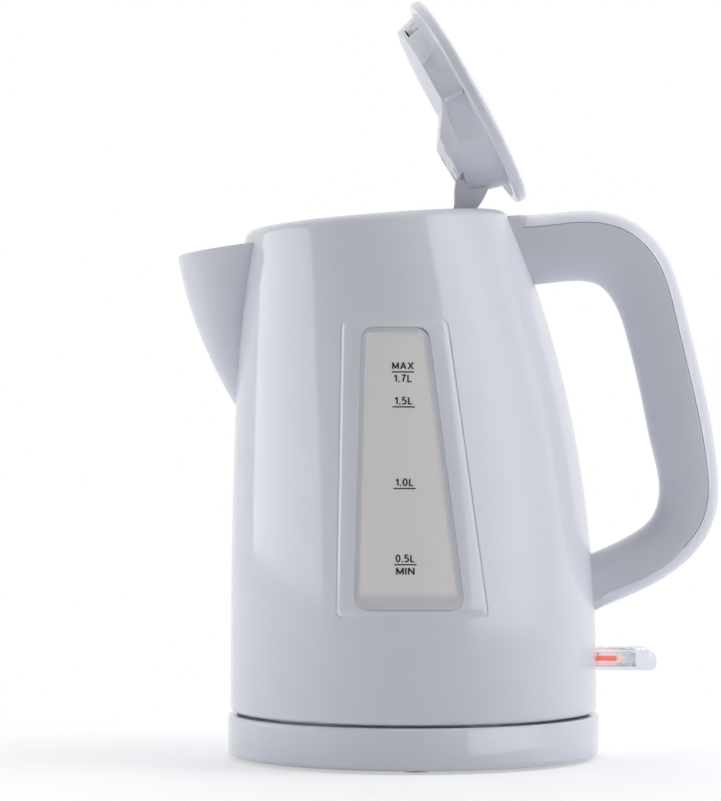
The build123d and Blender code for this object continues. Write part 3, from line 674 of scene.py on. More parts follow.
def window_frost(name):
    """Frosted see-through polypropylene: light passes but no clear picture. Painted
    shade darkens its foot, where the floor of the jug would shade it, and its
    border, where the wall behind it would shade it."""
    grain_mm = 0.9  # an etched mould is finer: drawn as coarse as it needs to show
    cloud_mm = 30.0
    finish, tree, place = new_finish(name)
    grain = add_node(tree, "ShaderNodeTexNoise", {"Scale": 1000 / grain_mm, "Detail": 2.0, "Vector": place})
    _, gloss = uneven(tree, place, cloud_mm, 2.0, 0.34, 0.42)
    bump = add_node(tree, "ShaderNodeBump", {"Strength": 0.6, "Distance": 0.004 * MM, "Height": grain})
    split = add_node(tree, "ShaderNodeSeparateXYZ", {"Vector": place})
    # painted shade: the pane's foot takes the darker DDDDE0, fading up to F7F2F1, where the jug's floor would
    # shade it
    foot = (PANEL_LOW + PANE_END) * MM
    shade_low = foot + 0.0035
    shade_high = foot + 0.0085
    level = add_node(tree, "ShaderNodeMapRange", {
        "From Min": shade_low, "From Max": shade_high, "Value": split.outputs["Z"],
    }, interpolation_type="SMOOTHSTEP")
    field = add_node(tree, "ShaderNodeMix", {
        6: linear("DDDDE0"), 7: linear("F7F2F1"), 0: level,
    }, data_type="RGBA")
    # painted shade: outside the field attribute the border takes the darker D9DBE2, where the wall behind the pane
    # would shade it
    inner = add_node(tree, "ShaderNodeAttribute", attribute_name="field")
    tint = add_node(tree, "ShaderNodeMix", {6: linear("D9DBE2"), 0: inner, 7: field.outputs[2]}, data_type="RGBA")
    shader = add_node(tree, "ShaderNodeBsdfPrincipled", {
        "IOR": 1.49, "Transmission Weight": 0.12, "Base Color": tint.outputs[2], "Roughness": gloss,
        "Normal": bump,
    })
    add_node(tree, "ShaderNodeOutputMaterial", {"Surface": shader})
    return finish


def clear_styrene(name, lamp_x, reach):
    """Clear moulded styrene lever. A painted pale red glow, standing in for the
    light of the lamp behind it, lies on its root and dies away towards the tip."""
    cloud_mm = 4.0
    finish, tree, place = new_finish(name)
    _, gloss = uneven(tree, place, cloud_mm, 2.0, 0.05, 0.12)
    split = add_node(tree, "ShaderNodeSeparateXYZ", {"Vector": place})
    # painted glow: emission in FF8C80 on the lever, strongest by the lamp and fading out along X
    fade = add_node(tree, "ShaderNodeMapRange", {
        "From Min": lamp_x, "From Max": lamp_x + reach, "To Min": 0.07, "To Max": 0.0,
        "Value": split.outputs["X"],
    }, interpolation_type="SMOOTHSTEP")
    shader = add_node(tree, "ShaderNodeBsdfPrincipled", {
        "Base Color": linear("E4E7EF"), "IOR": 1.5, "Transmission Weight": 0.94,
        "Emission Color": linear("FF8C80"), "Roughness": gloss, "Emission Strength": fade,
    })
    add_node(tree, "ShaderNodeOutputMaterial", {"Surface": shader})
    return finish


def lamp_glass(name, tip_x, axis_z):
    """Small neon lamp: the gas glows orange along its middle, and the glass round
    it and the drawn tip stay pale."""
    cloud_mm = 3.0
    finish, tree, place = new_finish(name)
    _, glow = uneven(tree, place, cloud_mm, 1.0, 0.55, 0.8)
    split = add_node(tree, "ShaderNodeSeparateXYZ", {"Vector": place})
    soft = 0.4 * MM
    gas = 1.0 * MM
    tip = add_node(tree, "ShaderNodeMapRange", {
        "From Min": tip_x - soft, "From Max": tip_x + soft, "Value": split.outputs["X"],
    })
    off = add_node(tree, "ShaderNodeMath", {1: axis_z, 0: split.outputs["Z"]}, operation="SUBTRACT")
    away = add_node(tree, "ShaderNodeMath", {0: off}, operation="ABSOLUTE")
    wall = add_node(tree, "ShaderNodeMapRange", {"From Min": gas, "From Max": gas + soft, "Value": away})
    pale = add_node(tree, "ShaderNodeMath", {0: tip, 1: wall}, operation="MAXIMUM")
    tint = add_node(tree, "ShaderNodeMix", {6: linear("E85420"), 7: linear("F4C6B6"), 0: pale}, data_type="RGBA")
    shader = add_node(tree, "ShaderNodeBsdfPrincipled", {
        "Roughness": 0.12, "Base Color": tint.outputs[2], "Emission Color": tint.outputs[2],
        "Emission Strength": glow,
    })
    add_node(tree, "ShaderNodeOutputMaterial", {"Surface": shader})
    return finish


def worked_metal(name, colour, smooth, rough, grain_mm, stretch, centre=(0, 0, 0), rings=False):
    """Rolled, brushed or plated metal: fine lines left by the working, either
    straight along X or in rings about an upright axis."""
    finish, tree, place = new_finish(name)
    source = add_node(tree, "ShaderNodeMapping", {"Location": tuple(-c for c in centre), "Vector": place})
    if rings:
        split = add_node(tree, "ShaderNodeSeparateXYZ", {"Vector": source})
        flat = add_node(tree, "ShaderNodeCombineXYZ", {"X": split.outputs["X"], "Y": split.outputs["Y"]})
        reach = add_node(tree, "ShaderNodeVectorMath", {0: flat}, operation="LENGTH")
        source = add_node(tree, "ShaderNodeCombineXYZ", {"X": reach.outputs["Value"]})
    else:
        source = add_node(tree, "ShaderNodeMapping", {"Scale": (1 / stretch, 1, 1), "Vector": source})
    lines, gloss = uneven(tree, source, grain_mm, 3.0, smooth, rough)
    bump = add_node(tree, "ShaderNodeBump", {"Strength": 0.5, "Distance": 0.006 * MM, "Height": lines})
    shader = add_node(tree, "ShaderNodeBsdfPrincipled", {
        "Base Color": linear(colour), "Metallic": 1.0, "Roughness": gloss, "Normal": bump,
    })
    add_node(tree, "ShaderNodeOutputMaterial", {"Surface": shader})
    return finish


# Name, two close colours, smoothest and roughest gloss, ripple of the mould
# across and in height (mm), and IOR. A grain too fine to show is drawn as coarse
# as it needs to show.

# ABS from a polished mould: sharp, bright reflections with a faint ripple
GLOSS_ABS = moulded_plastic("abs_gloss_white", "DDDFE8", "D9DBE4", 0.06, 0.10, 2.2, 0.001, 1.53)
# ABS from a fine-blasted mould: an even satin without clear reflections
SATIN_ABS = moulded_plastic("abs_satin_white", "D8DAE3", "D3D5DE", 0.34, 0.42, 0.45, 0.003, 1.53)
# Polypropylene: waxy and half glossy
INNER_PP = moulded_plastic("polypropylene_white", "DDDFE7", "D8DAE2", 0.26, 0.36, 1.2, 0.003, 1.49)
# PBT, the heat-proof black of plugs and switches: dull, faintly grained
BLACK_PBT = moulded_plastic("pbt_black", "1B1C1F", "232427", 0.35, 0.5, 0.5, 0.004, 1.55)
# Pressed rubber: dark and matt
FOOT_RUBBER = moulded_plastic("rubber_grey", "3A3B3E", "444548", 0.7, 0.85, 0.6, 0.01, 1.52)
# Moulded silicone: off-white and soft to the eye
SILICONE = moulded_plastic("silicone_white", "CFCFCC", "C6C6C4", 0.5, 0.6, 0.8, 0.006, 1.41)
# Pad-printed ink: a dense black film
MARK_INK = moulded_plastic("printing_ink_black", "0C0C0F", "131316", 0.4, 0.5, 0.3, 0.001, 1.5)
# Polypropylene from an etched mould: grey and cloudy, with no clear picture behind it
FROSTED_PP = window_frost("polypropylene_frosted")

# Name, colour, smoothest and roughest gloss, width of the lines (mm), which are
# also drawn as coarse as they need to show, and their stretch

# Stainless plate, brushed in rings round the kettle's axis
STEEL_PLATE = worked_metal("stainless_brushed", "B9BABD", 0.22, 0.4, 0.5, 1, (AXIS_X * MM, 0, 0), True)
# Stainless wire and rod, drawn: long fine lines
STEEL_WIRE = worked_metal("stainless_drawn", "B4B5B8", 0.25, 0.35, 0.2, 12)
# Pressed aluminium: pale and dull
ALUMINIUM = worked_metal("aluminium_pressed", "C3C4C7", 0.35, 0.5, 0.6, 3)
# Steel with bright zinc: grey, a little mottled
ZINC_STEEL = worked_metal("zinc_plated_steel", "B8B9BA", 0.3, 0.45, 0.4, 2)
# Rolled brass strip: warm, with lines along the strip
BRASS = worked_metal("brass_rolled", "C7A25A", 0.25, 0.4, 0.4, 6)

# Where the lever's painted glow starts past the lamp's low end, and how far it fades
PAINTED_GLOW_START = 6.0 * MM
PAINTED_GLOW_REACH = 10.5 * MM
LAMP_TIP = 4.2 * MM
lamp_low, lamp_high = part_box("neon_lamp")
# Clear moulded styrene: bright edges, and a painted red glow at its root
CLEAR_STYRENE = clear_styrene("styrene_clear", lamp_low.x + PAINTED_GLOW_START, PAINTED_GLOW_REACH)
# Glass with glowing gas: orange in its middle
LAMP_GLASS = lamp_glass("neon_lamp_glass", lamp_high.x - LAMP_TIP, (lamp_low.z + lamp_high.z) / 2)


# Jug, window and level marks

jug = jug_and_spout()
mount(jug, "jug", GLOSS_ABS, "white_gloss_plastic", "jug_body")


def pane_rows(side_margin, end_margin, corner):
    low = PANEL_LOW + end_margin
    high = PANEL_HIGH - end_margin
    rounds = [corner * (1 - cos(radians(90 * s / 6))) for s in range(6)]
    heights = [low + r for r in rounds]
    heights += [low + corner + (high - low - 2 * corner) * s / 36 for s in range(37)]
    heights += [high - r for r in reversed(rounds)]
    rows = []
    for z in heights:
        into = max(0.0, corner - min(z - low, high - z))
        cut = corner - sqrt(max(0.0, corner * corner - into * into))
        left, right = window_edges(z, side_margin + cut)
        rows.append([(left + (right - left) * c / 12, z) for c in range(13)])
    return rows


def water_window():
    """A pane with a border that steps down to its field, and a flange behind the wall."""
    gap = 0.05
    behind = WALL + 0.02
    slope = PANE_BORDER - PANE_STEP
    field = pane_rows(PANE_SIDE + PANE_BORDER, PANE_END + PANE_BORDER, FIELD_CORNER)
    shelf = pane_rows(PANE_SIDE + slope, PANE_END + slope, SHELF_CORNER)
    edge = pane_rows(PANE_SIDE + gap, PANE_END + gap, PANE_CORNER)
    flange = pane_rows(PANE_SIDE - FLANGE_SIDE, PANE_END - FLANGE_END, FLANGE_CORNER)
    points = []
    faces = []
    borders = []
    for rows, inset, filled in (
        (field, PANE_DEPTH, True), (shelf, PANE_DEPTH - 0.35, False), (edge, 0.25 - PANEL_RISE, False),
        (edge, behind, False), (flange, behind, False), (flange, PANE_BACK, True),
    ):
        grid = [numbered(points, [front_point(x, z, inset) for x, z in row]) for row in rows]
        if filled:
            faces += join_grid(grid, False, False)
        border = grid[0][:-1] + [row[-1] for row in grid[:-1]]
        border += list(reversed(grid[-1][1:])) + [row[0] for row in reversed(grid[1:])]
        borders.append(border)
    faces += join_grid(borders, False, True)
    made = shape("window_pane", points, faces, 25)
    with mesh_work(made.data) as work:
        loose = [v for v in work.verts if not v.link_faces]
        bmesh.ops.delete(work, geom=loose, context="VERTS")
    # the field attribute marks where the border's painted shade stops
    inner = made.data.attributes.new("field", "FLOAT", "POINT")
    margin = PANE_BORDER - 0.1
    for spot, value in zip(made.data.vertices, inner.data):
        x, z = spot.co.x / MM - AXIS_X, spot.co.z / MM
        left, right = window_edges(z, PANE_SIDE + margin)
        tall = PANEL_LOW + PANE_END + margin < z < PANEL_HIGH - PANE_END - margin
        value.value = 1.0 if left < x < right and tall else 0.0
    return made


mount(water_window(), "jug", FROSTED_PP, "frosted_window", "water_window")

# Height and middle of each level line, and the words above and below it with their widths
LEVEL_LINES = (
    (161.5, -5.3, ("MAX", 8.8), ("1.7L", 7.6)),
    (147.4, -5.0, ("1.5L", 7.6), None),
    (114.6, -4.7, ("1.0L", 7.6), None),
    (84.1, -4.45, ("0.5L", 7.9), ("MIN", 7.5)),
)
LINE_LONG = 9.0
LINE_HALF = 0.27
WORD_ABOVE = 0.9
WORD_BELOW = 1.0
MARK_RISE = 0.06
MARK_HIGH = 3.2
PEN = 0.2
LETTER_GAP = 0.32


def ellipse(x, y, across, up, first, last):
    steps = 16
    turn = [radians(first + (last - first) * i / steps) for i in range(steps + 1)]
    return [(x + across * cos(a), y + up * sin(a)) for a in turn]


# Pen lines of the printed letters, one cap height tall, and each letter's width
LETTERS = {
    "M": (0.74, [[(0, 0), (0, 1), (0.37, 0.1), (0.74, 1), (0.74, 0)]]),
    "A": (0.7, [[(0, 0), (0.35, 1), (0.7, 0)], [(0.12, 0.32), (0.58, 0.32)]]),
    "X": (0.64, [[(0, 0), (0.64, 1)], [(0, 1), (0.64, 0)]]),
    "I": (0.0, [[(0, 0), (0, 1)]]),
    "N": (0.6, [[(0, 0), (0, 1), (0.6, 0), (0.6, 1)]]),
    "L": (0.44, [[(0, 1), (0, 0), (0.44, 0)]]),
    "1": (0.24, [[(0, 0.74), (0.24, 1), (0.24, 0)]]),
    ".": (0.0, [[(0, -0.1), (0, 0.1)]]),
    "0": (0.46, [ellipse(0.23, 0.5, 0.23, 0.5, 90, 450)]),
    "5": (0.46, [[(0.43, 1), (0.09, 1), (0.03, 0.5)] + ellipse(0.2, 0.31, 0.25, 0.31, 130, -145)]),
    "7": (0.46, [[(0, 1), (0.46, 1), (0.28, 0.6), (0.18, 0.0)]]),
}


def pen_runs(path):
    """Splits a path at its sharp corners. Both runs go on past the middle of a
    square corner by half the pen, which fills it."""
    line = [Vector(spot) for spot in path]
    runs = [[line[0]]]
    for before, here, after in zip(line, line[1:], line[2:]):
        one = (here - before).normalized()
        two = (after - here).normalized()
        runs[-1].append(here)
        if one.dot(two) < 0.64:
            past = PEN / 2 if one.dot(two) > -0.5 else 0.0
            runs[-1][-1] = here + one * past
            runs.append([here - two * past])
    runs[-1].append(line[-1])
    return runs


def pen_line(line):
    """A ribbon of the pen's width along a run of points."""
    closed = (line[0] - line[-1]).length < 1e-6
    spots = []
    for i, here in enumerate(line):
        before = line[i - 1] if i else (line[-2] if closed else here - (line[1] - here))
        after = line[i + 1] if i + 1 < len(line) else (line[1] if closed else here + (here - line[-2]))
        one = (here - before).normalized()
        two = (after - here).normalized()
        way = (one + two).normalized()
        side = Vector((-way.y, way.x)) * (PEN / 2 / way.dot(one))
        spots += [here - side, here + side]
    return spots, [(2 * i, 2 * i + 2, 2 * i + 3, 2 * i + 1) for i in range(len(line) - 1)]


def flat_text(words, width, middle, foot):
    """Printed letters as flat ribbons in X and Z, fitted to a width."""
    spots = []
    faces = []
    reach = 0.0
    for letter in words:
        wide, paths = LETTERS[letter]
        for run in [run for path in paths for run in pen_runs(path)]:
            ribbon, strips = pen_line(run)
            first = len(spots)
            spots += [(reach + spot.x, spot.y) for spot in ribbon]
            faces += [tuple(first + i for i in strip) for strip in strips]
        reach += wide + LETTER_GAP
    full = reach - LETTER_GAP + PEN
    across = width / full
    up = MARK_HIGH / (1 + PEN)
    start = middle - width / 2
    return [(start + (x + PEN / 2) * across, foot + (y + PEN / 2) * up) for x, y in spots], faces


def level_marks():
    points = []
    faces = []

    def add(spots, parts):
        first = len(points)
        points.extend(front_point(x, z, PANE_DEPTH - MARK_RISE) for x, z in spots)
        faces.extend(tuple(first + i for i in part) for part in parts)

    def add_line(middle, z):
        spots = [(middle + LINE_LONG * (c / 8 - 0.5), z + h) for h in (-LINE_HALF, LINE_HALF) for c in range(9)]
        add(spots, [(c, c + 1, c + 10, c + 9) for c in range(8)])

    for z, middle, above, below in LEVEL_LINES:
        add_line(middle, z)
        add(*flat_text(*above, middle, z + WORD_ABOVE))
        if below:
            add(*flat_text(*below, middle, z - WORD_BELOW - MARK_HIGH))
    mesh = bpy.data.meshes.new("level_marks")
    mesh.from_pydata(metres(points), [], faces)
    return linked("level_marks", mesh)


mount(level_marks(), "jug", MARK_INK, "black_insulator")


# Handle

def curve_through(places, count):
    """Evenly spaced points on a smooth cubic curve through the places."""
    spots = np.array(places, float)
    knots = np.concatenate(([0.0], np.cumsum(np.hypot(*np.diff(spots, axis=0).T))))
    gaps = np.diff(knots)
    size = len(spots)
    matrix = np.zeros((size, size))
    right = np.zeros((size, 2))
    slopes = np.diff(spots, axis=0) / gaps[:, None]
    matrix[0, 0] = matrix[-1, -1] = 1
    right[0] = slopes[0] + (slopes[0] - slopes[1]) * gaps[0] / (gaps[0] + gaps[1])
    right[-1] = slopes[-1] + (slopes[-1] - slopes[-2]) * gaps[-1] / (gaps[-1] + gaps[-2])
    for i in range(1, size - 1):
        matrix[i, i - 1] = gaps[i]
        matrix[i, i] = 2 * (gaps[i - 1] + gaps[i])
        matrix[i, i + 1] = gaps[i - 1]
        right[i] = 3 * (gaps[i] * slopes[i - 1] + gaps[i - 1] * slopes[i])
    tangents = np.linalg.solve(matrix, right)
    at = np.linspace(0, knots[-1], count)
    span = np.clip(np.searchsorted(knots, at, side="right") - 1, 0, size - 2)
    t = ((at - knots[span]) / gaps[span])[:, None]
    h = gaps[span][:, None]
    a, b = spots[span], spots[span + 1]
    return (a * (1 + 2 * t) * (1 - t) ** 2 + b * t * t * (3 - 2 * t)
            + h * tangents[span] * t * (1 - t) ** 2 + h * tangents[span + 1] * t * t * (t - 1))


def handle_places(places):
    return [(JUG_FOOT_RADIUS + dx, FOOT_Z + share * JUG_RISE) for dx, share in places]


HANDLE_OUTER = curve_through(handle_places((
    (-40.0, 1.002), (-21.5, 1.0077), (-1.5, 1.0134), (14.8, 0.9928), (27.5, 0.9367),
    (37.0, 0.8177), (45.3, 0.6542), (50.9, 0.4916), (49.7, 0.3909),
    (38.5, 0.307), (22.5, 0.2537), (6.5, 0.2192), (-7.5, 0.1909))), 1600)
HANDLE_INNER = curve_through(handle_places((
    (-40.0, 0.86), (-21.5, 0.8667), (-7.5, 0.8724), (1.0, 0.8638), (8.1, 0.8245),
    (13.5, 0.7506), (18.8, 0.6451), (23.7, 0.5324), (26.8, 0.4436),
    (23.5, 0.3909), (14.0, 0.354), (-0.4, 0.3209), (-7.5, 0.3074))), 1600)


def first_at(curve, x, last=False):
    """Number of the point where the curve's upper or lower end reaches x."""
    order = range(len(curve) - 1, -1, -1) if last else range(len(curve))
    return next(i for i in order if curve[i][0] >= x)


def even_numbers(curve, start, stop, steps):
    lengths = np.concatenate(([0.0], np.cumsum(np.hypot(*np.diff(curve[start:stop + 1], axis=0).T))))
    goals = np.linspace(0, lengths[-1], steps + 1)
    return [start + int(np.searchsorted(lengths, g)) for g in goals]


def handle_stations(top_x, low_x, steps):
    """Pairs of outer and inner places, from the upper root to the lower one."""
    lines = []
    for curve in (HANDLE_OUTER, HANDLE_INNER):
        numbers = even_numbers(curve, first_at(curve, top_x), first_at(curve, low_x, True), steps)
        lines.append([curve[n] for n in numbers])
    return list(zip(*lines))


def root_pair(x, last=False):
    """The outer and inner place where the handle's upper or lower end reaches x."""
    return tuple(curve[first_at(curve, x, last)] for curve in (HANDLE_OUTER, HANDLE_INNER))


def place_slice(pair, outline):
    """Puts a slice of depths and widths across the handle at a pair of places."""
    back, front = (np.array(p) for p in pair)
    way = (front - back) / np.hypot(*(front - back))
    return [Vector((back[0] + way[0] * d, y, back[1] + way[1] * d)) for d, y in outline]


def grip_slice(pair, near, near_round, far_round):
    """A slice with oval corners, given as depth and width, from the depth near
    to the hand side."""
    far = depth_of(pair)
    outline = []
    for side, depth, (deep, wide), first in (
        (1, near, near_round, 180), (1, far, far_round, 90), (-1, far, far_round, 0), (-1, near, near_round, -90),
    ):
        inward = 1 if depth == near else -1
        for s in range(11):
            angle = radians(first - 9 * s)
            outline.append((depth + deep * (inward + cos(angle)), side * (HANDLE_HALF - wide) + wide * sin(angle)))
    return place_slice(pair, outline)


def cover_slice(pair):
    """The cover's arched slice: it leans away from the seam and rolls over the back."""
    lean = radians(22)
    arch = []
    for s in range(14):
        angle = radians(90) + (lean - radians(90)) * s / 14
        deep = COVER_DEPTH * (1 - (sin(angle) - sin(lean)) / (1 - sin(lean)))
        arch.append((deep, HANDLE_HALF - COVER_ROLL * (1 - cos(angle) / cos(lean))))
    arch += [(COVER_DEPTH - 0.3, HANDLE_HALF - 0.12), (COVER_DEPTH, HANDLE_HALF - 0.5)]
    return place_slice(pair, arch + [(d, -y) for d, y in reversed(arch)])


def depth_of(pair):
    return float(np.hypot(*(np.array(pair[1]) - np.array(pair[0]))))


def outside_jug(ring):
    """Pushes what would stand inside the jug back into its wall or rim."""
    into_wall = 0.9
    over_rim = RIM_Z + 0.4
    return [p if p.z > over_rim else Vector((max(p.x, wall_x(p.y, p.z, into_wall)), p.y, p.z)) for p in ring]


def handle_core():
    top_x = COVER_START_X - COVER_GAP
    low_x = COVER_STOP_X - COVER_GAP
    seat = COVER_DEPTH + COVER_GAP
    collar = (5.0, 9.5)
    seam = (0.5, 0.5)
    hand_side = (18.0, 12.0)
    upper = [root_pair(x) for x in (38.5, 40.0, 42.0, 44.0, top_x)]
    lower = [root_pair(x, True) for x in (low_x, 77.0, 75.5, 73.5)]
    rings = [grip_slice(pair, 0.0, collar, hand_side) for pair in upper]
    rings += [grip_slice(pair, seat, seam, hand_side) for pair in handle_stations(top_x, low_x, HANDLE_STEPS)]
    rings += [grip_slice(pair, 0.0, collar, hand_side) for pair in lower]
    return capped_stack("handle_grip", [outside_jug(ring) for ring in rings], 40)


def handle_cover():
    """The cover over the handle's back, with eased ends."""
    ease = 0.35
    rings = [cover_slice(pair) for pair in handle_stations(COVER_START_X, COVER_STOP_X, HANDLE_STEPS)]
    ends = []
    for ring, beside in ((rings[0], rings[1]), (rings[-1], rings[-2])):
        middle = sum(ring, Vector()) / len(ring)
        ends.append([p + (middle - p).normalized() * ease for p in ring])
        ring[:] = [p + (q - p).normalized() * ease for p, q in zip(ring, beside)]
    return capped_stack("handle_back_cover", [ends[0]] + rings + [ends[1]], 40)


mount(handle_core(), "jug", SATIN_ABS, "white_gloss_plastic", "handle_core")
mount(handle_cover(), "jug", GLOSS_ABS, "white_gloss_plastic", "handle_cover")


# Lid, open about its hinge

def lid_place(u, v, w):
    spot = rim_point(u, v, w)
    dx = spot.x - HINGE_X
    dz = spot.z - HINGE_Z
    return Vector((
        HINGE_X + dx * cos(LID_OPEN) + dz * sin(LID_OPEN),
        spot.y,
        HINGE_Z - dx * sin(LID_OPEN) + dz * cos(LID_OPEN),
    ))


def lid_cover():
    """A domed shell with a rounded rim, hollow towards the lid body."""
    ball = (LID_RADIUS ** 2 + LID_DOME ** 2) / (2 * LID_DOME)
    centre = LID_GAP + LID_EDGE + LID_DOME - ball
    seat = LID_RADIUS - LID_RIM
    low_round = 1.6
    top_round = 2.0
    profile = []
    for s in range(25):
        radius = 0.01 + (seat - 0.01) * s / 24
        profile.append((radius, centre + sqrt((ball - LID_WALL) ** 2 - radius ** 2)))
    profile += [(seat, LID_GAP + 0.3), (seat + 0.1, LID_GAP + 0.1), (seat + 0.3, LID_GAP)]
    profile += arc_points((LID_RADIUS - low_round, LID_GAP + low_round), low_round, -90, 0, 6)
    inner = LID_RADIUS - top_round
    height = sqrt((ball - top_round) ** 2 - inner ** 2)
    profile += arc_points((inner, centre + height), top_round, 0, degrees(atan2(height, inner)), 8)
    for s in range(1, 31):
        radius = inner * ball / (ball - top_round) * (1 - s / 30) + 0.01 * s / 30
        profile.append((radius, centre + sqrt(ball ** 2 - radius ** 2)))
    points, faces = turned(profile, 160)
    return shape("lid_disc", [lid_place(x + LID_X, y, z) for x, y, z in points], faces, 30)


mount(lid_cover(), "lid", GLOSS_ABS, "white_gloss_plastic", "lid_cover")


def lid_rib(name, side):
    """A round-nosed rib down one flat side of the lid body, tapered off at its lower end."""
    half = 1.0
    root = -0.8
    flank = 1.7
    middle = MOUTH_X - 0.4
    outline = [(-half, root), *reversed(arc_points((0, flank), half, 0, 180, 10)), (half, root)]
    rings = []
    for w, share in ((LID_GAP, 1.0), (-6.6, 1.0), (-7.1, 0.9), (-7.4, 0.65), (-7.5, 0.35)):
        rings.append([
            lid_place(middle + across * share, side * (LID_FLAT + root + (out - root) * share), w)
            for across, out in outline
        ])
    return capped_stack(name, rings, 40)


for name, side in (("lid_rib_near", -1), ("lid_rib_far", 1)):
    mount(lid_rib(name, side), "lid", INNER_PP, "white_gloss_plastic")


def lid_wall(u, w):
    """Half width of the lid body at a place along it and a height."""
    reach = LID_SKIRT - LID_DRAFT * (LID_GAP + 0.5 - w)
    return min(LID_FLAT, sqrt(reach ** 2 - (u - MOUTH_X) ** 2))


def hip_edges(share):
    """Upper and lower edge of the slanted hip on the lid's side, at a share of its length."""
    u, w = (a + (b - a) * share for a, b in zip(*HIP_TOP))
    high = Vector((u, -lid_wall(u, w), w))
    u, inset = (a + (b - a) * share for a, b in zip(*HIP_FOOT))
    low = Vector((u, inset - lid_wall(u, -LID_DEPTH), -LID_DEPTH - BELLY_DROP))
    return high, low


def hip_tool(side):
    """Takes the lid's wall away outside the hip of one side."""
    before = 0.08
    outwards = Vector((0, 14, 0))
    rings = []
    for s in range(HIP_STEPS + 1):
        high, low = hip_edges(-before + (1 + before) * s / HIP_STEPS)
        slope = low - high
        ring = [high - slope * 0.2, low + slope * 0.3]
        ring += [p - outwards for p in reversed(ring)]
        rings.append([lid_place(p.x, -side * p.y, p.z) for p in ring])
    return capped_stack("hip_tool", rings, 30)


def lid_belly():
    """The raised underside between the two hips, with a well for each of its screws."""
    rings = []
    for s in range(HIP_STEPS + 1):
        high, low = hip_edges(s / HIP_STEPS)
        around = ((high, 1), (low, 1), (low, -1), (high, -1))
        rings.append([lid_place(p.x, side * p.y, p.z) for p, side in around])
    belly = capped_stack("lid_belly", rings, 30)
    for spot in LID_SCREW_PLACES:
        circle = arc_points(spot, WELL_RADIUS, 0, 345, 23)
        well = [[lid_place(x, y, w) for x, y in circle] for w in (-LID_DEPTH + 0.05, -LID_DEPTH - 4)]
        combine(belly, capped_stack("screw_well", well, 30), "DIFFERENCE")
    finish_mesh(belly.data, 30)
    return belly


mount(lid_belly(), "lid", INNER_PP, "white_gloss_plastic")


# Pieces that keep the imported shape, with merged faces and eased edges

def eased_copy(node, body, finish, slot, ease_mm, hips=()):
    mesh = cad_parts[node].data.copy()
    mesh.name = node + "_eased"
    with mesh_work(mesh) as work:
        bmesh.ops.remove_doubles(work, verts=work.verts, dist=MERGE)
        bmesh.ops.dissolve_limit(work, angle_limit=radians(0.6), verts=work.verts, edges=work.edges)
    if mesh.has_custom_normals:
        mesh.attributes.remove(mesh.attributes["custom_normal"])
    made = linked(node + "_eased", mesh)
    if ease_mm:
        ease = made.modifiers.new("ease", "BEVEL")
        ease.width = ease_mm * MM
        ease.segments = 2
        ease.limit_method = "ANGLE"
        ease.angle_limit = radians(40)
        ease.use_clamp_overlap = True
        evaluated(made)
    for side in hips:
        combine(made, hip_tool(side), "DIFFERENCE")
    made.data.shade_smooth()
    made.data.set_sharp_from_angle(angle=radians(30))
    mount(made, body, finish, slot, node)


BOTH_SIDES = (-1, 1)
eased_copy("base_top_cover", "power_base", GLOSS_ABS, "white_gloss_plastic", 0)
eased_copy("base_bottom_plate", "power_base", SATIN_ABS, "white_satin_plastic", 0.3)
eased_copy("base_connector", "power_base", BLACK_PBT, "black_insulator", 0.3)
eased_copy("bottom_cover", "jug", SATIN_ABS, "white_satin_plastic", 0.3)
for node, body, ease_mm, hips in (
    ("lid_body", "lid", 0.3, BOTH_SIDES),
    ("lid_inner_plate", "lid", 0.3, BOTH_SIDES),
    ("lid_hinge_bracket", "lid", 0.4, ()),
    ("filter_frame", "spout_filter", 0.4, ()),
    ("steam_tube", "jug", 0.2, ()),
):
    eased_copy(node, body, INNER_PP, "white_gloss_plastic", ease_mm, hips)
eased_copy("switch_lever", "lever", CLEAR_STYRENE, "clear_lever", 0.4)
eased_copy("neon_lamp", "lever", LAMP_GLASS, "lamp_glass", 0)


# What repeats: screws, feet and the filter's wires

def new_tree(name, sizes):
    """A Geometry Nodes tree with a named input for each size, in metres, a turn
    and a finish. Returns it with its input node."""
    tree = bpy.data.node_groups.new(name, "GeometryNodeTree")
    face = tree.interface
    face.new_socket("Geometry", in_out="OUTPUT", socket_type="NodeSocketGeometry")
    face.new_socket("Places", in_out="INPUT", socket_type="NodeSocketGeometry")
    for size in sizes:
        face.new_socket(size, in_out="INPUT", socket_type="NodeSocketFloat")
    face.new_socket("Turn", in_out="INPUT", socket_type="NodeSocketRotation")
    face.new_socket("Finish", in_out="INPUT", socket_type="NodeSocketMaterial")
    return tree, add_node(tree, "NodeGroupInput").outputs


def set_out(tree, given, piece, seed=None):
    """Puts the piece on every place and makes the copies real. With a seed, each
    has its own turn about its axis."""
    placed = add_node(tree, "GeometryNodeInstanceOnPoints", {
        "Points": given["Places"], "Instance": piece, "Rotation": given["Turn"],
    })
    if seed:
        spin = add_node(tree, "FunctionNodeRandomValue", {2: 0.0, 3: 2 * pi, "Seed": seed}, data_type="FLOAT")
        about = add_node(tree, "ShaderNodeCombineXYZ", {"Z": spin.outputs[1]})
        placed = add_node(tree, "GeometryNodeRotateInstances", {
            "Local Space": True, "Instances": placed, "Rotation": about,
        })
    real = add_node(tree, "GeometryNodeRealizeInstances", {0: placed})
    coated = add_node(tree, "GeometryNodeSetMaterial", {"Geometry": real, "Material": given["Finish"]})
    add_node(tree, "NodeGroupOutput", {0: coated})


def lifted(tree, piece, height):
    up = add_node(tree, "ShaderNodeCombineXYZ", {"Z": height})
    return add_node(tree, "GeometryNodeTransform", {"Geometry": piece, "Translation": up})


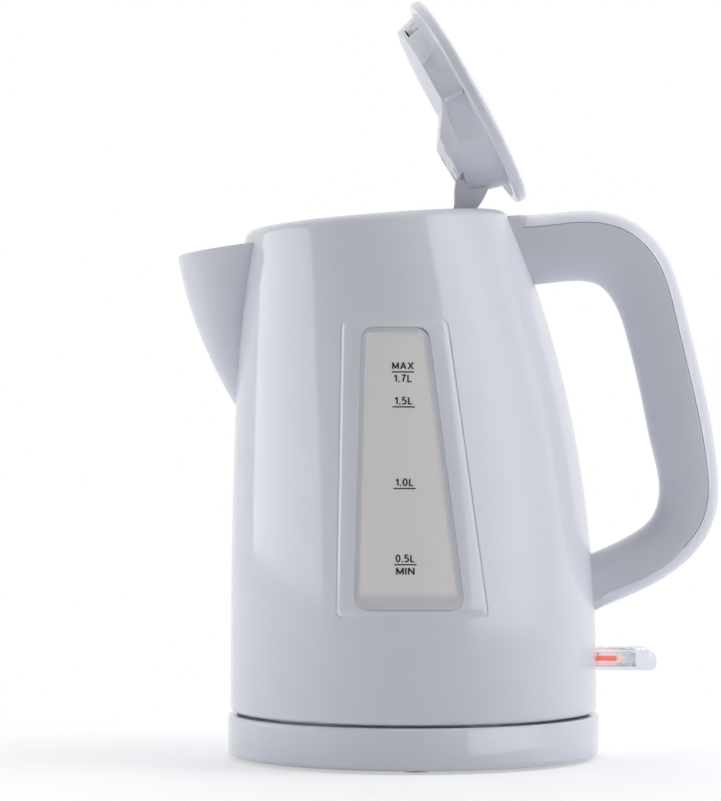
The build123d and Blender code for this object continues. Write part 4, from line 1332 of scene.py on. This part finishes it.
def round_puck(tree, radius, height, edge, sides):
    """A disc from 0 to its height, its upper edge rounded."""
    inner = add_node(tree, "ShaderNodeMath", {0: radius, 1: edge}, operation="SUBTRACT")
    level = add_node(tree, "ShaderNodeMath", {0: height, 1: edge}, operation="SUBTRACT")
    path = add_node(tree, "GeometryNodeCurvePrimitiveCircle", {"Resolution": sides, "Radius": inner})
    bead = add_node(tree, "GeometryNodeCurvePrimitiveCircle", {"Resolution": 12, "Radius": edge})
    ring = add_node(tree, "GeometryNodeCurveToMesh", {"Curve": path, "Profile Curve": bead})
    raised = lifted(tree, ring, level)
    foot = add_node(tree, "GeometryNodeMeshCircle", {"Vertices": sides, "Radius": radius})
    both = add_node(tree, "GeometryNodeJoinGeometry", {0: [raised, foot]})
    return add_node(tree, "GeometryNodeConvexHull", {0: both})


def screw_tree():
    """A pan head with a cross recess, and a plain shank below it."""
    sizes = ("Head Radius", "Head Height", "Shank Radius", "Shank Length", "Recess Width", "Recess Depth")
    tree, given = new_tree("cross_head_screw", sizes)
    edge = add_node(tree, "ShaderNodeMath", {0: given["Head Height"], 1: 0.4}, operation="MULTIPLY")
    head = round_puck(tree, given["Head Radius"], given["Head Height"], edge, 28)
    reach = add_node(tree, "ShaderNodeMath", {0: given["Head Radius"], 1: 1.15}, operation="MULTIPLY")
    tall = add_node(tree, "ShaderNodeMath", {0: given["Recess Depth"], 1: 2.0}, operation="MULTIPLY")
    for across, along in ((reach, given["Recess Width"]), (given["Recess Width"], reach)):
        size = add_node(tree, "ShaderNodeCombineXYZ", {"X": across, "Y": along, "Z": tall})
        bar = add_node(tree, "GeometryNodeMeshCube", {"Size": size})
        raised = lifted(tree, bar, given["Head Height"])
        head = add_node(tree, "GeometryNodeMeshBoolean", {
            "Mesh 1": head, "Mesh 2": raised,
        }, operation="DIFFERENCE", solver="EXACT")
    half = add_node(tree, "ShaderNodeMath", {0: given["Shank Length"], 1: -0.5}, operation="MULTIPLY")
    rod = add_node(tree, "GeometryNodeMeshCylinder", {
        "Vertices": 16, "Radius": given["Shank Radius"], "Depth": given["Shank Length"],
    })
    both = add_node(tree, "GeometryNodeJoinGeometry", {0: [head, lifted(tree, rod, half)]})
    set_out(tree, given, both, seed=7)
    return tree


def foot_tree():
    """A rubber foot with a rounded tread and a moulded dimple in its middle."""
    tree, given = new_tree("rubber_foot", ("Radius", "Height", "Edge", "Dimple Radius", "Dimple Depth"))
    puck = round_puck(tree, given["Radius"], given["Height"], given["Edge"], 40)
    tall = add_node(tree, "ShaderNodeMath", {0: given["Dimple Depth"], 1: 2.0}, operation="MULTIPLY")
    plug = add_node(tree, "GeometryNodeMeshCylinder", {
        "Vertices": 24, "Radius": given["Dimple Radius"], "Depth": tall,
    })
    raised = lifted(tree, plug, given["Height"])
    cut = add_node(tree, "GeometryNodeMeshBoolean", {
        "Mesh 1": puck, "Mesh 2": raised,
    }, operation="DIFFERENCE", solver="EXACT")
    set_out(tree, given, cut, seed=3)
    return tree


def wire_tree():
    """Straight wires side by side across a width, each as long as the other side."""
    tree, given = new_tree("filter_wires", ("Width", "Length", "Pitch", "Wire Radius"))
    share = add_node(tree, "ShaderNodeMath", {0: given["Width"], 1: given["Pitch"]}, operation="DIVIDE")
    count = add_node(tree, "ShaderNodeMath", {0: share}, operation="FLOOR")
    gap = add_node(tree, "ShaderNodeMath", {0: given["Width"], 1: count}, operation="DIVIDE")
    span = add_node(tree, "ShaderNodeMath", {0: given["Width"], 1: gap}, operation="SUBTRACT")
    first = add_node(tree, "ShaderNodeMath", {0: span, 1: -0.5}, operation="MULTIPLY")
    start = add_node(tree, "ShaderNodeCombineXYZ", {"X": first})
    step = add_node(tree, "ShaderNodeCombineXYZ", {"X": gap})
    row = add_node(tree, "GeometryNodeMeshLine", {
        "Count": count, "Start Location": start, "Offset": step,
    }, mode="OFFSET")
    wire = add_node(tree, "GeometryNodeMeshCylinder", {
        "Vertices": 8, "Radius": given["Wire Radius"], "Depth": given["Length"],
    })
    wires = add_node(tree, "GeometryNodeInstanceOnPoints", {"Points": row, "Instance": wire})
    set_out(tree, given, wires)
    return tree


def grown(name, tree, places, values, crease=30):
    """The plain mesh that a tree makes on places given in metres."""
    mesh = bpy.data.meshes.new(name)
    mesh.from_pydata([tuple(place) for place in places], [], [])
    made = linked(name, mesh)
    step = made.modifiers.new(tree.name, "NODES")
    step.node_group = tree
    for socket in tree.interface.items_tree:
        if socket.item_type == "SOCKET" and socket.in_out == "INPUT" and socket.name in values:
            step[socket.identifier] = values[socket.name]
    evaluated(made)
    finish_mesh(made.data, crease)
    return made


def node_islands(node):
    """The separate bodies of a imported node, as lists of points in metres."""
    work = bmesh.new()
    work.from_mesh(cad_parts[node].data)
    bmesh.ops.remove_doubles(work, verts=work.verts, dist=MERGE)
    left = set(work.verts)
    islands = []
    while left:
        island = [left.pop()]
        for spot in island:
            for edge in spot.link_edges:
                other = edge.other_vert(spot)
                if other in left:
                    left.remove(other)
                    island.append(other)
        islands.append([spot.co.copy() for spot in island])
    work.free()
    return islands


def axis_ends(island, way):
    """The low and high ends of an island along its axis."""
    middle = sum(island, Vector()) / len(island)
    reach = [(spot - middle).dot(way) for spot in island]
    return middle + way * min(reach), middle + way * max(reach)


# Shares of the head's radius and height
RECESS_WIDTH = 0.3
RECESS_DEPTH = 0.55
SCREW = screw_tree()
FOOT = foot_tree()
WIRES = wire_tree()


def screws(node, body, way, head, head_height, shank, sunk=0.0):
    """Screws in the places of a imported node, heads towards the given way."""
    islands = [axis_ends(island, way) for island in node_islands(node)]
    shank_length = (islands[0][1] - islands[0][0]).length - (head_height + sunk) * MM
    places = [high - way * (head_height + sunk) * MM for _, high in islands]
    values = {
        "Head Radius": head * MM, "Head Height": head_height * MM,
        "Shank Radius": shank * MM, "Shank Length": shank_length,
        "Recess Width": RECESS_WIDTH * head * MM, "Recess Depth": RECESS_DEPTH * head_height * MM,
        "Turn": tuple(way.to_track_quat("Z", "Y").to_euler()), "Finish": ZINC_STEEL,
    }
    mount(grown(node + "_cross_head", SCREW, places, values), body, ZINC_STEEL, "zinc_steel", node)


DOWN = Vector((0, 0, -1))
screws("base_screws", "power_base", DOWN, 3.0, 1.1, 1.5)
screws("bottom_screws", "jug", DOWN, 3.0, 1.2, 1.5)
screws("clamp_screws", "jug", DOWN, 2.4, 1.4, 1.25)
screws("handle_screws", "jug", Vector((1, 0, 0)), 2.8, 2.0, 1.3)
lid_down = (lid_place(0, 0, -1) - lid_place(0, 0, 0)).normalized()
screws("lid_screws", "lid", lid_down, 2.4, 1.2, 1.2, 1.1)

feet = [axis_ends(island, DOWN) for island in node_islands("base_feet")]
foot_values = {
    "Radius": 6.0 * MM, "Height": (feet[0][1] - feet[0][0]).length, "Edge": 0.5 * MM,
    "Dimple Radius": 2.0 * MM, "Dimple Depth": 0.4 * MM,
    "Turn": tuple(DOWN.to_track_quat("Z", "Y").to_euler()), "Finish": FOOT_RUBBER,
}
foot_treads = grown("base_feet_tread", FOOT, [low for low, _ in feet], foot_values)
mount(foot_treads, "power_base", FOOT_RUBBER, "rubber_feet", "base_feet")


def filter_wires():
    """Two layers of drawn wire, one up and one across, in the filter's frame.
    Real gauze is finer: the wires are as coarse as they need to show."""
    low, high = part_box("filter_mesh")
    middle = (low + high) / 2
    wide = high.y - low.y
    tall = high.z - low.z
    radius = 0.19 * MM
    layers = []
    for name, shift, width, length, turn in (
        ("filter_wires_up", -radius, wide, tall, (0, 0, pi / 2)),
        ("filter_wires_across", radius, tall, wide, (pi / 2, pi / 2, 0)),
    ):
        values = {
            "Width": width, "Length": length, "Pitch": 1.3 * MM, "Wire Radius": radius,
            "Turn": turn, "Finish": STEEL_WIRE,
        }
        layers.append(grown(name, WIRES, [middle + Vector((shift, 0, 0))], values, 40))
    first, second = layers
    with mesh_work(first.data) as work:
        work.from_mesh(second.data)
    bpy.data.objects.remove(second)
    first.name = "filter_wires"
    return first


mount(filter_wires(), "spout_filter", STEEL_WIRE, "stainless_steel", "filter_mesh")

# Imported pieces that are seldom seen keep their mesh
for node, finish in (
    ("base_contacts", BRASS), ("heating_plate", STEEL_PLATE), ("plate_seal", SILICONE),
    ("heat_spreader", ALUMINIUM), ("heating_element", ALUMINIUM), ("plate_clamp_ring", ZINC_STEEL),
    ("control_housing", BLACK_PBT), ("connector_pins", BRASS), ("dry_boil_discs", BRASS),
    ("steam_bimetal", BRASS), ("contact_leaf", BRASS), ("contact_slider", BLACK_PBT),
    ("lever_pin", STEEL_WIRE), ("hinge_pin", STEEL_WIRE),
):
    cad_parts[node].data.materials.clear()
    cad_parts[node].data.materials.append(finish)


# Studio

def soft_box(name, middle, target, width, height, watts):
    lamp = bpy.data.lights.new(name, "AREA")
    lamp.shape = "RECTANGLE"
    lamp.size = width
    lamp.size_y = height
    lamp.energy = watts
    made = linked(name, lamp)
    made.location = middle
    made.rotation_euler = (Vector(target) - Vector(middle)).to_track_quat("-Z", "Y").to_euler()
    made.visible_glossy = False


def seen_share(tree):
    """1 where the camera sees the surface, straight, in gloss or through glass."""
    path = add_node(tree, "ShaderNodeLightPath")
    straight = add_node(tree, "ShaderNodeMath", {
        0: path.outputs["Is Camera Ray"], 1: path.outputs["Is Glossy Ray"],
    }, operation="MAXIMUM")
    seen = add_node(tree, "ShaderNodeMath", {
        0: straight, 1: path.outputs["Is Transmission Ray"],
    }, operation="MAXIMUM")
    return path, seen


def studio_world():
    world = bpy.data.worlds.new("studio")
    bpy.context.scene.world = world
    world.use_nodes = True
    tree = world.node_tree
    tree.nodes.clear()
    path, seen = seen_share(tree)
    # the backdrop behind the kettle throws more light than the dark room in front of it
    place = add_node(tree, "ShaderNodeTexCoord")
    split = add_node(tree, "ShaderNodeSeparateXYZ", {0: place.outputs["Generated"]})
    fall = add_node(tree, "ShaderNodeMapRange", {
        "From Min": 0.0, "From Max": 1.0, "To Min": 0.05, "To Max": 0.8, "Value": split.outputs["Y"],
    })
    room = add_node(tree, "ShaderNodeBackground", {"Color": (1, 1, 1, 1), "Strength": fall})
    # two tall diffusers at the sides, brighter than the white backdrop, show in glossy surfaces
    left = add_node(tree, "ShaderNodeMapRange", {
        "From Min": -0.84, "From Max": -0.87, "To Min": 0.0, "To Max": 1.8, "Value": split.outputs["X"],
    }, interpolation_type="SMOOTHSTEP")
    right = add_node(tree, "ShaderNodeMapRange", {
        "From Min": 0.55, "From Max": 0.585, "To Min": 0.0, "To Max": 2.1, "Value": split.outputs["X"],
    }, interpolation_type="SMOOTHSTEP")
    front = add_node(tree, "ShaderNodeMapRange", {
        "From Min": 0.15, "From Max": -0.4, "Value": split.outputs["Y"],
    }, interpolation_type="SMOOTHSTEP")
    sides = add_node(tree, "ShaderNodeMath", {0: right, 1: front, 2: left}, operation="MULTIPLY_ADD")
    bright = add_node(tree, "ShaderNodeMath", {
        2: 1.0, 0: sides, 1: path.outputs["Is Glossy Ray"],
    }, operation="MULTIPLY_ADD")
    white = add_node(tree, "ShaderNodeBackground", {"Color": (1, 1, 1, 1), "Strength": bright})
    both = add_node(tree, "ShaderNodeMixShader", {"Fac": seen, 1: room, 2: white})
    add_node(tree, "ShaderNodeOutputWorld", {"Surface": both})


def studio_floor():
    """White card: near the kettle it keeps the shadow, further out it runs into
    the white backdrop."""
    finish, tree, place = new_finish("floor_white_card")
    _, seen = seen_share(tree)
    away = add_node(tree, "ShaderNodeVectorMath", {0: place}, operation="LENGTH")
    fade = add_node(tree, "ShaderNodeMapRange", {
        "From Min": 0.1, "From Max": 0.3, "To Min": 0.5, "To Max": 1.0, "Value": away.outputs["Value"],
    }, interpolation_type="SMOOTHSTEP")
    share = add_node(tree, "ShaderNodeMath", {0: seen, 1: fade}, operation="MULTIPLY")
    card = add_node(tree, "ShaderNodeBsdfDiffuse", {"Color": linear("F4F6FA")})
    glow = add_node(tree, "ShaderNodeEmission", {"Color": (1, 1, 1, 1), "Strength": 1.0})
    both = add_node(tree, "ShaderNodeMixShader", {"Fac": share, 1: card, 2: glow})
    add_node(tree, "ShaderNodeOutputMaterial", {"Surface": both})
    far = 6000
    floor = shape("floor", [(-far, -far, 0), (far, -far, 0), (far, far, 0), (-far, far, 0)], [(0, 1, 2, 3)])
    floor.data.materials.append(finish)


# Name, middle, aim, width, height and watts of each lamp
SOFT_BOXES = (
    ("soft_box_left", (-1.231, -0.217, 0.5), (0, 0, 0.2), 1.8, 1.3, 10.0),
    ("soft_box_right", (1.2, -0.24, 0.75), (0, 0, 0.2), 0.6, 1.0, 4.5),
    ("soft_box_high_right", (1.1, -0.08, 1.3), (0, 0, 0.15), 1.0, 1.0, 11.0),
    ("soft_box_overhead", (0.0, 0.0, 1.5), (0, 0, 0.2), 0.8, 0.5, 4.0),
    ("soft_box_high_back", (0.0, 0.9, 1.3), (0, 0, 0.15), 0.8, 0.8, 6.5),
)
CAMERA_X = -22.4
CAMERA_AWAY = 1400
CAMERA_Z = 137


def studio_camera():
    """Level, before the jug's leaning middle, as the photograph shows it."""
    camera = bpy.data.cameras.new("camera")
    made = linked("camera", camera)
    bpy.context.scene.camera = made
    camera.sensor_width = 36
    camera.lens = 148.5
    camera.shift_y = 0.0402
    camera.clip_end = 50
    made.location = ((CAMERA_X + AXIS_X) * MM, -CAMERA_AWAY * MM, CAMERA_Z * MM)
    made.rotation_euler = (radians(90), 0, 0)


bpy.context.scene.view_settings.view_transform = "Standard"
studio_world()
studio_floor()
for lamp_sizes in SOFT_BOXES:
    soft_box(*lamp_sizes)
studio_camera()
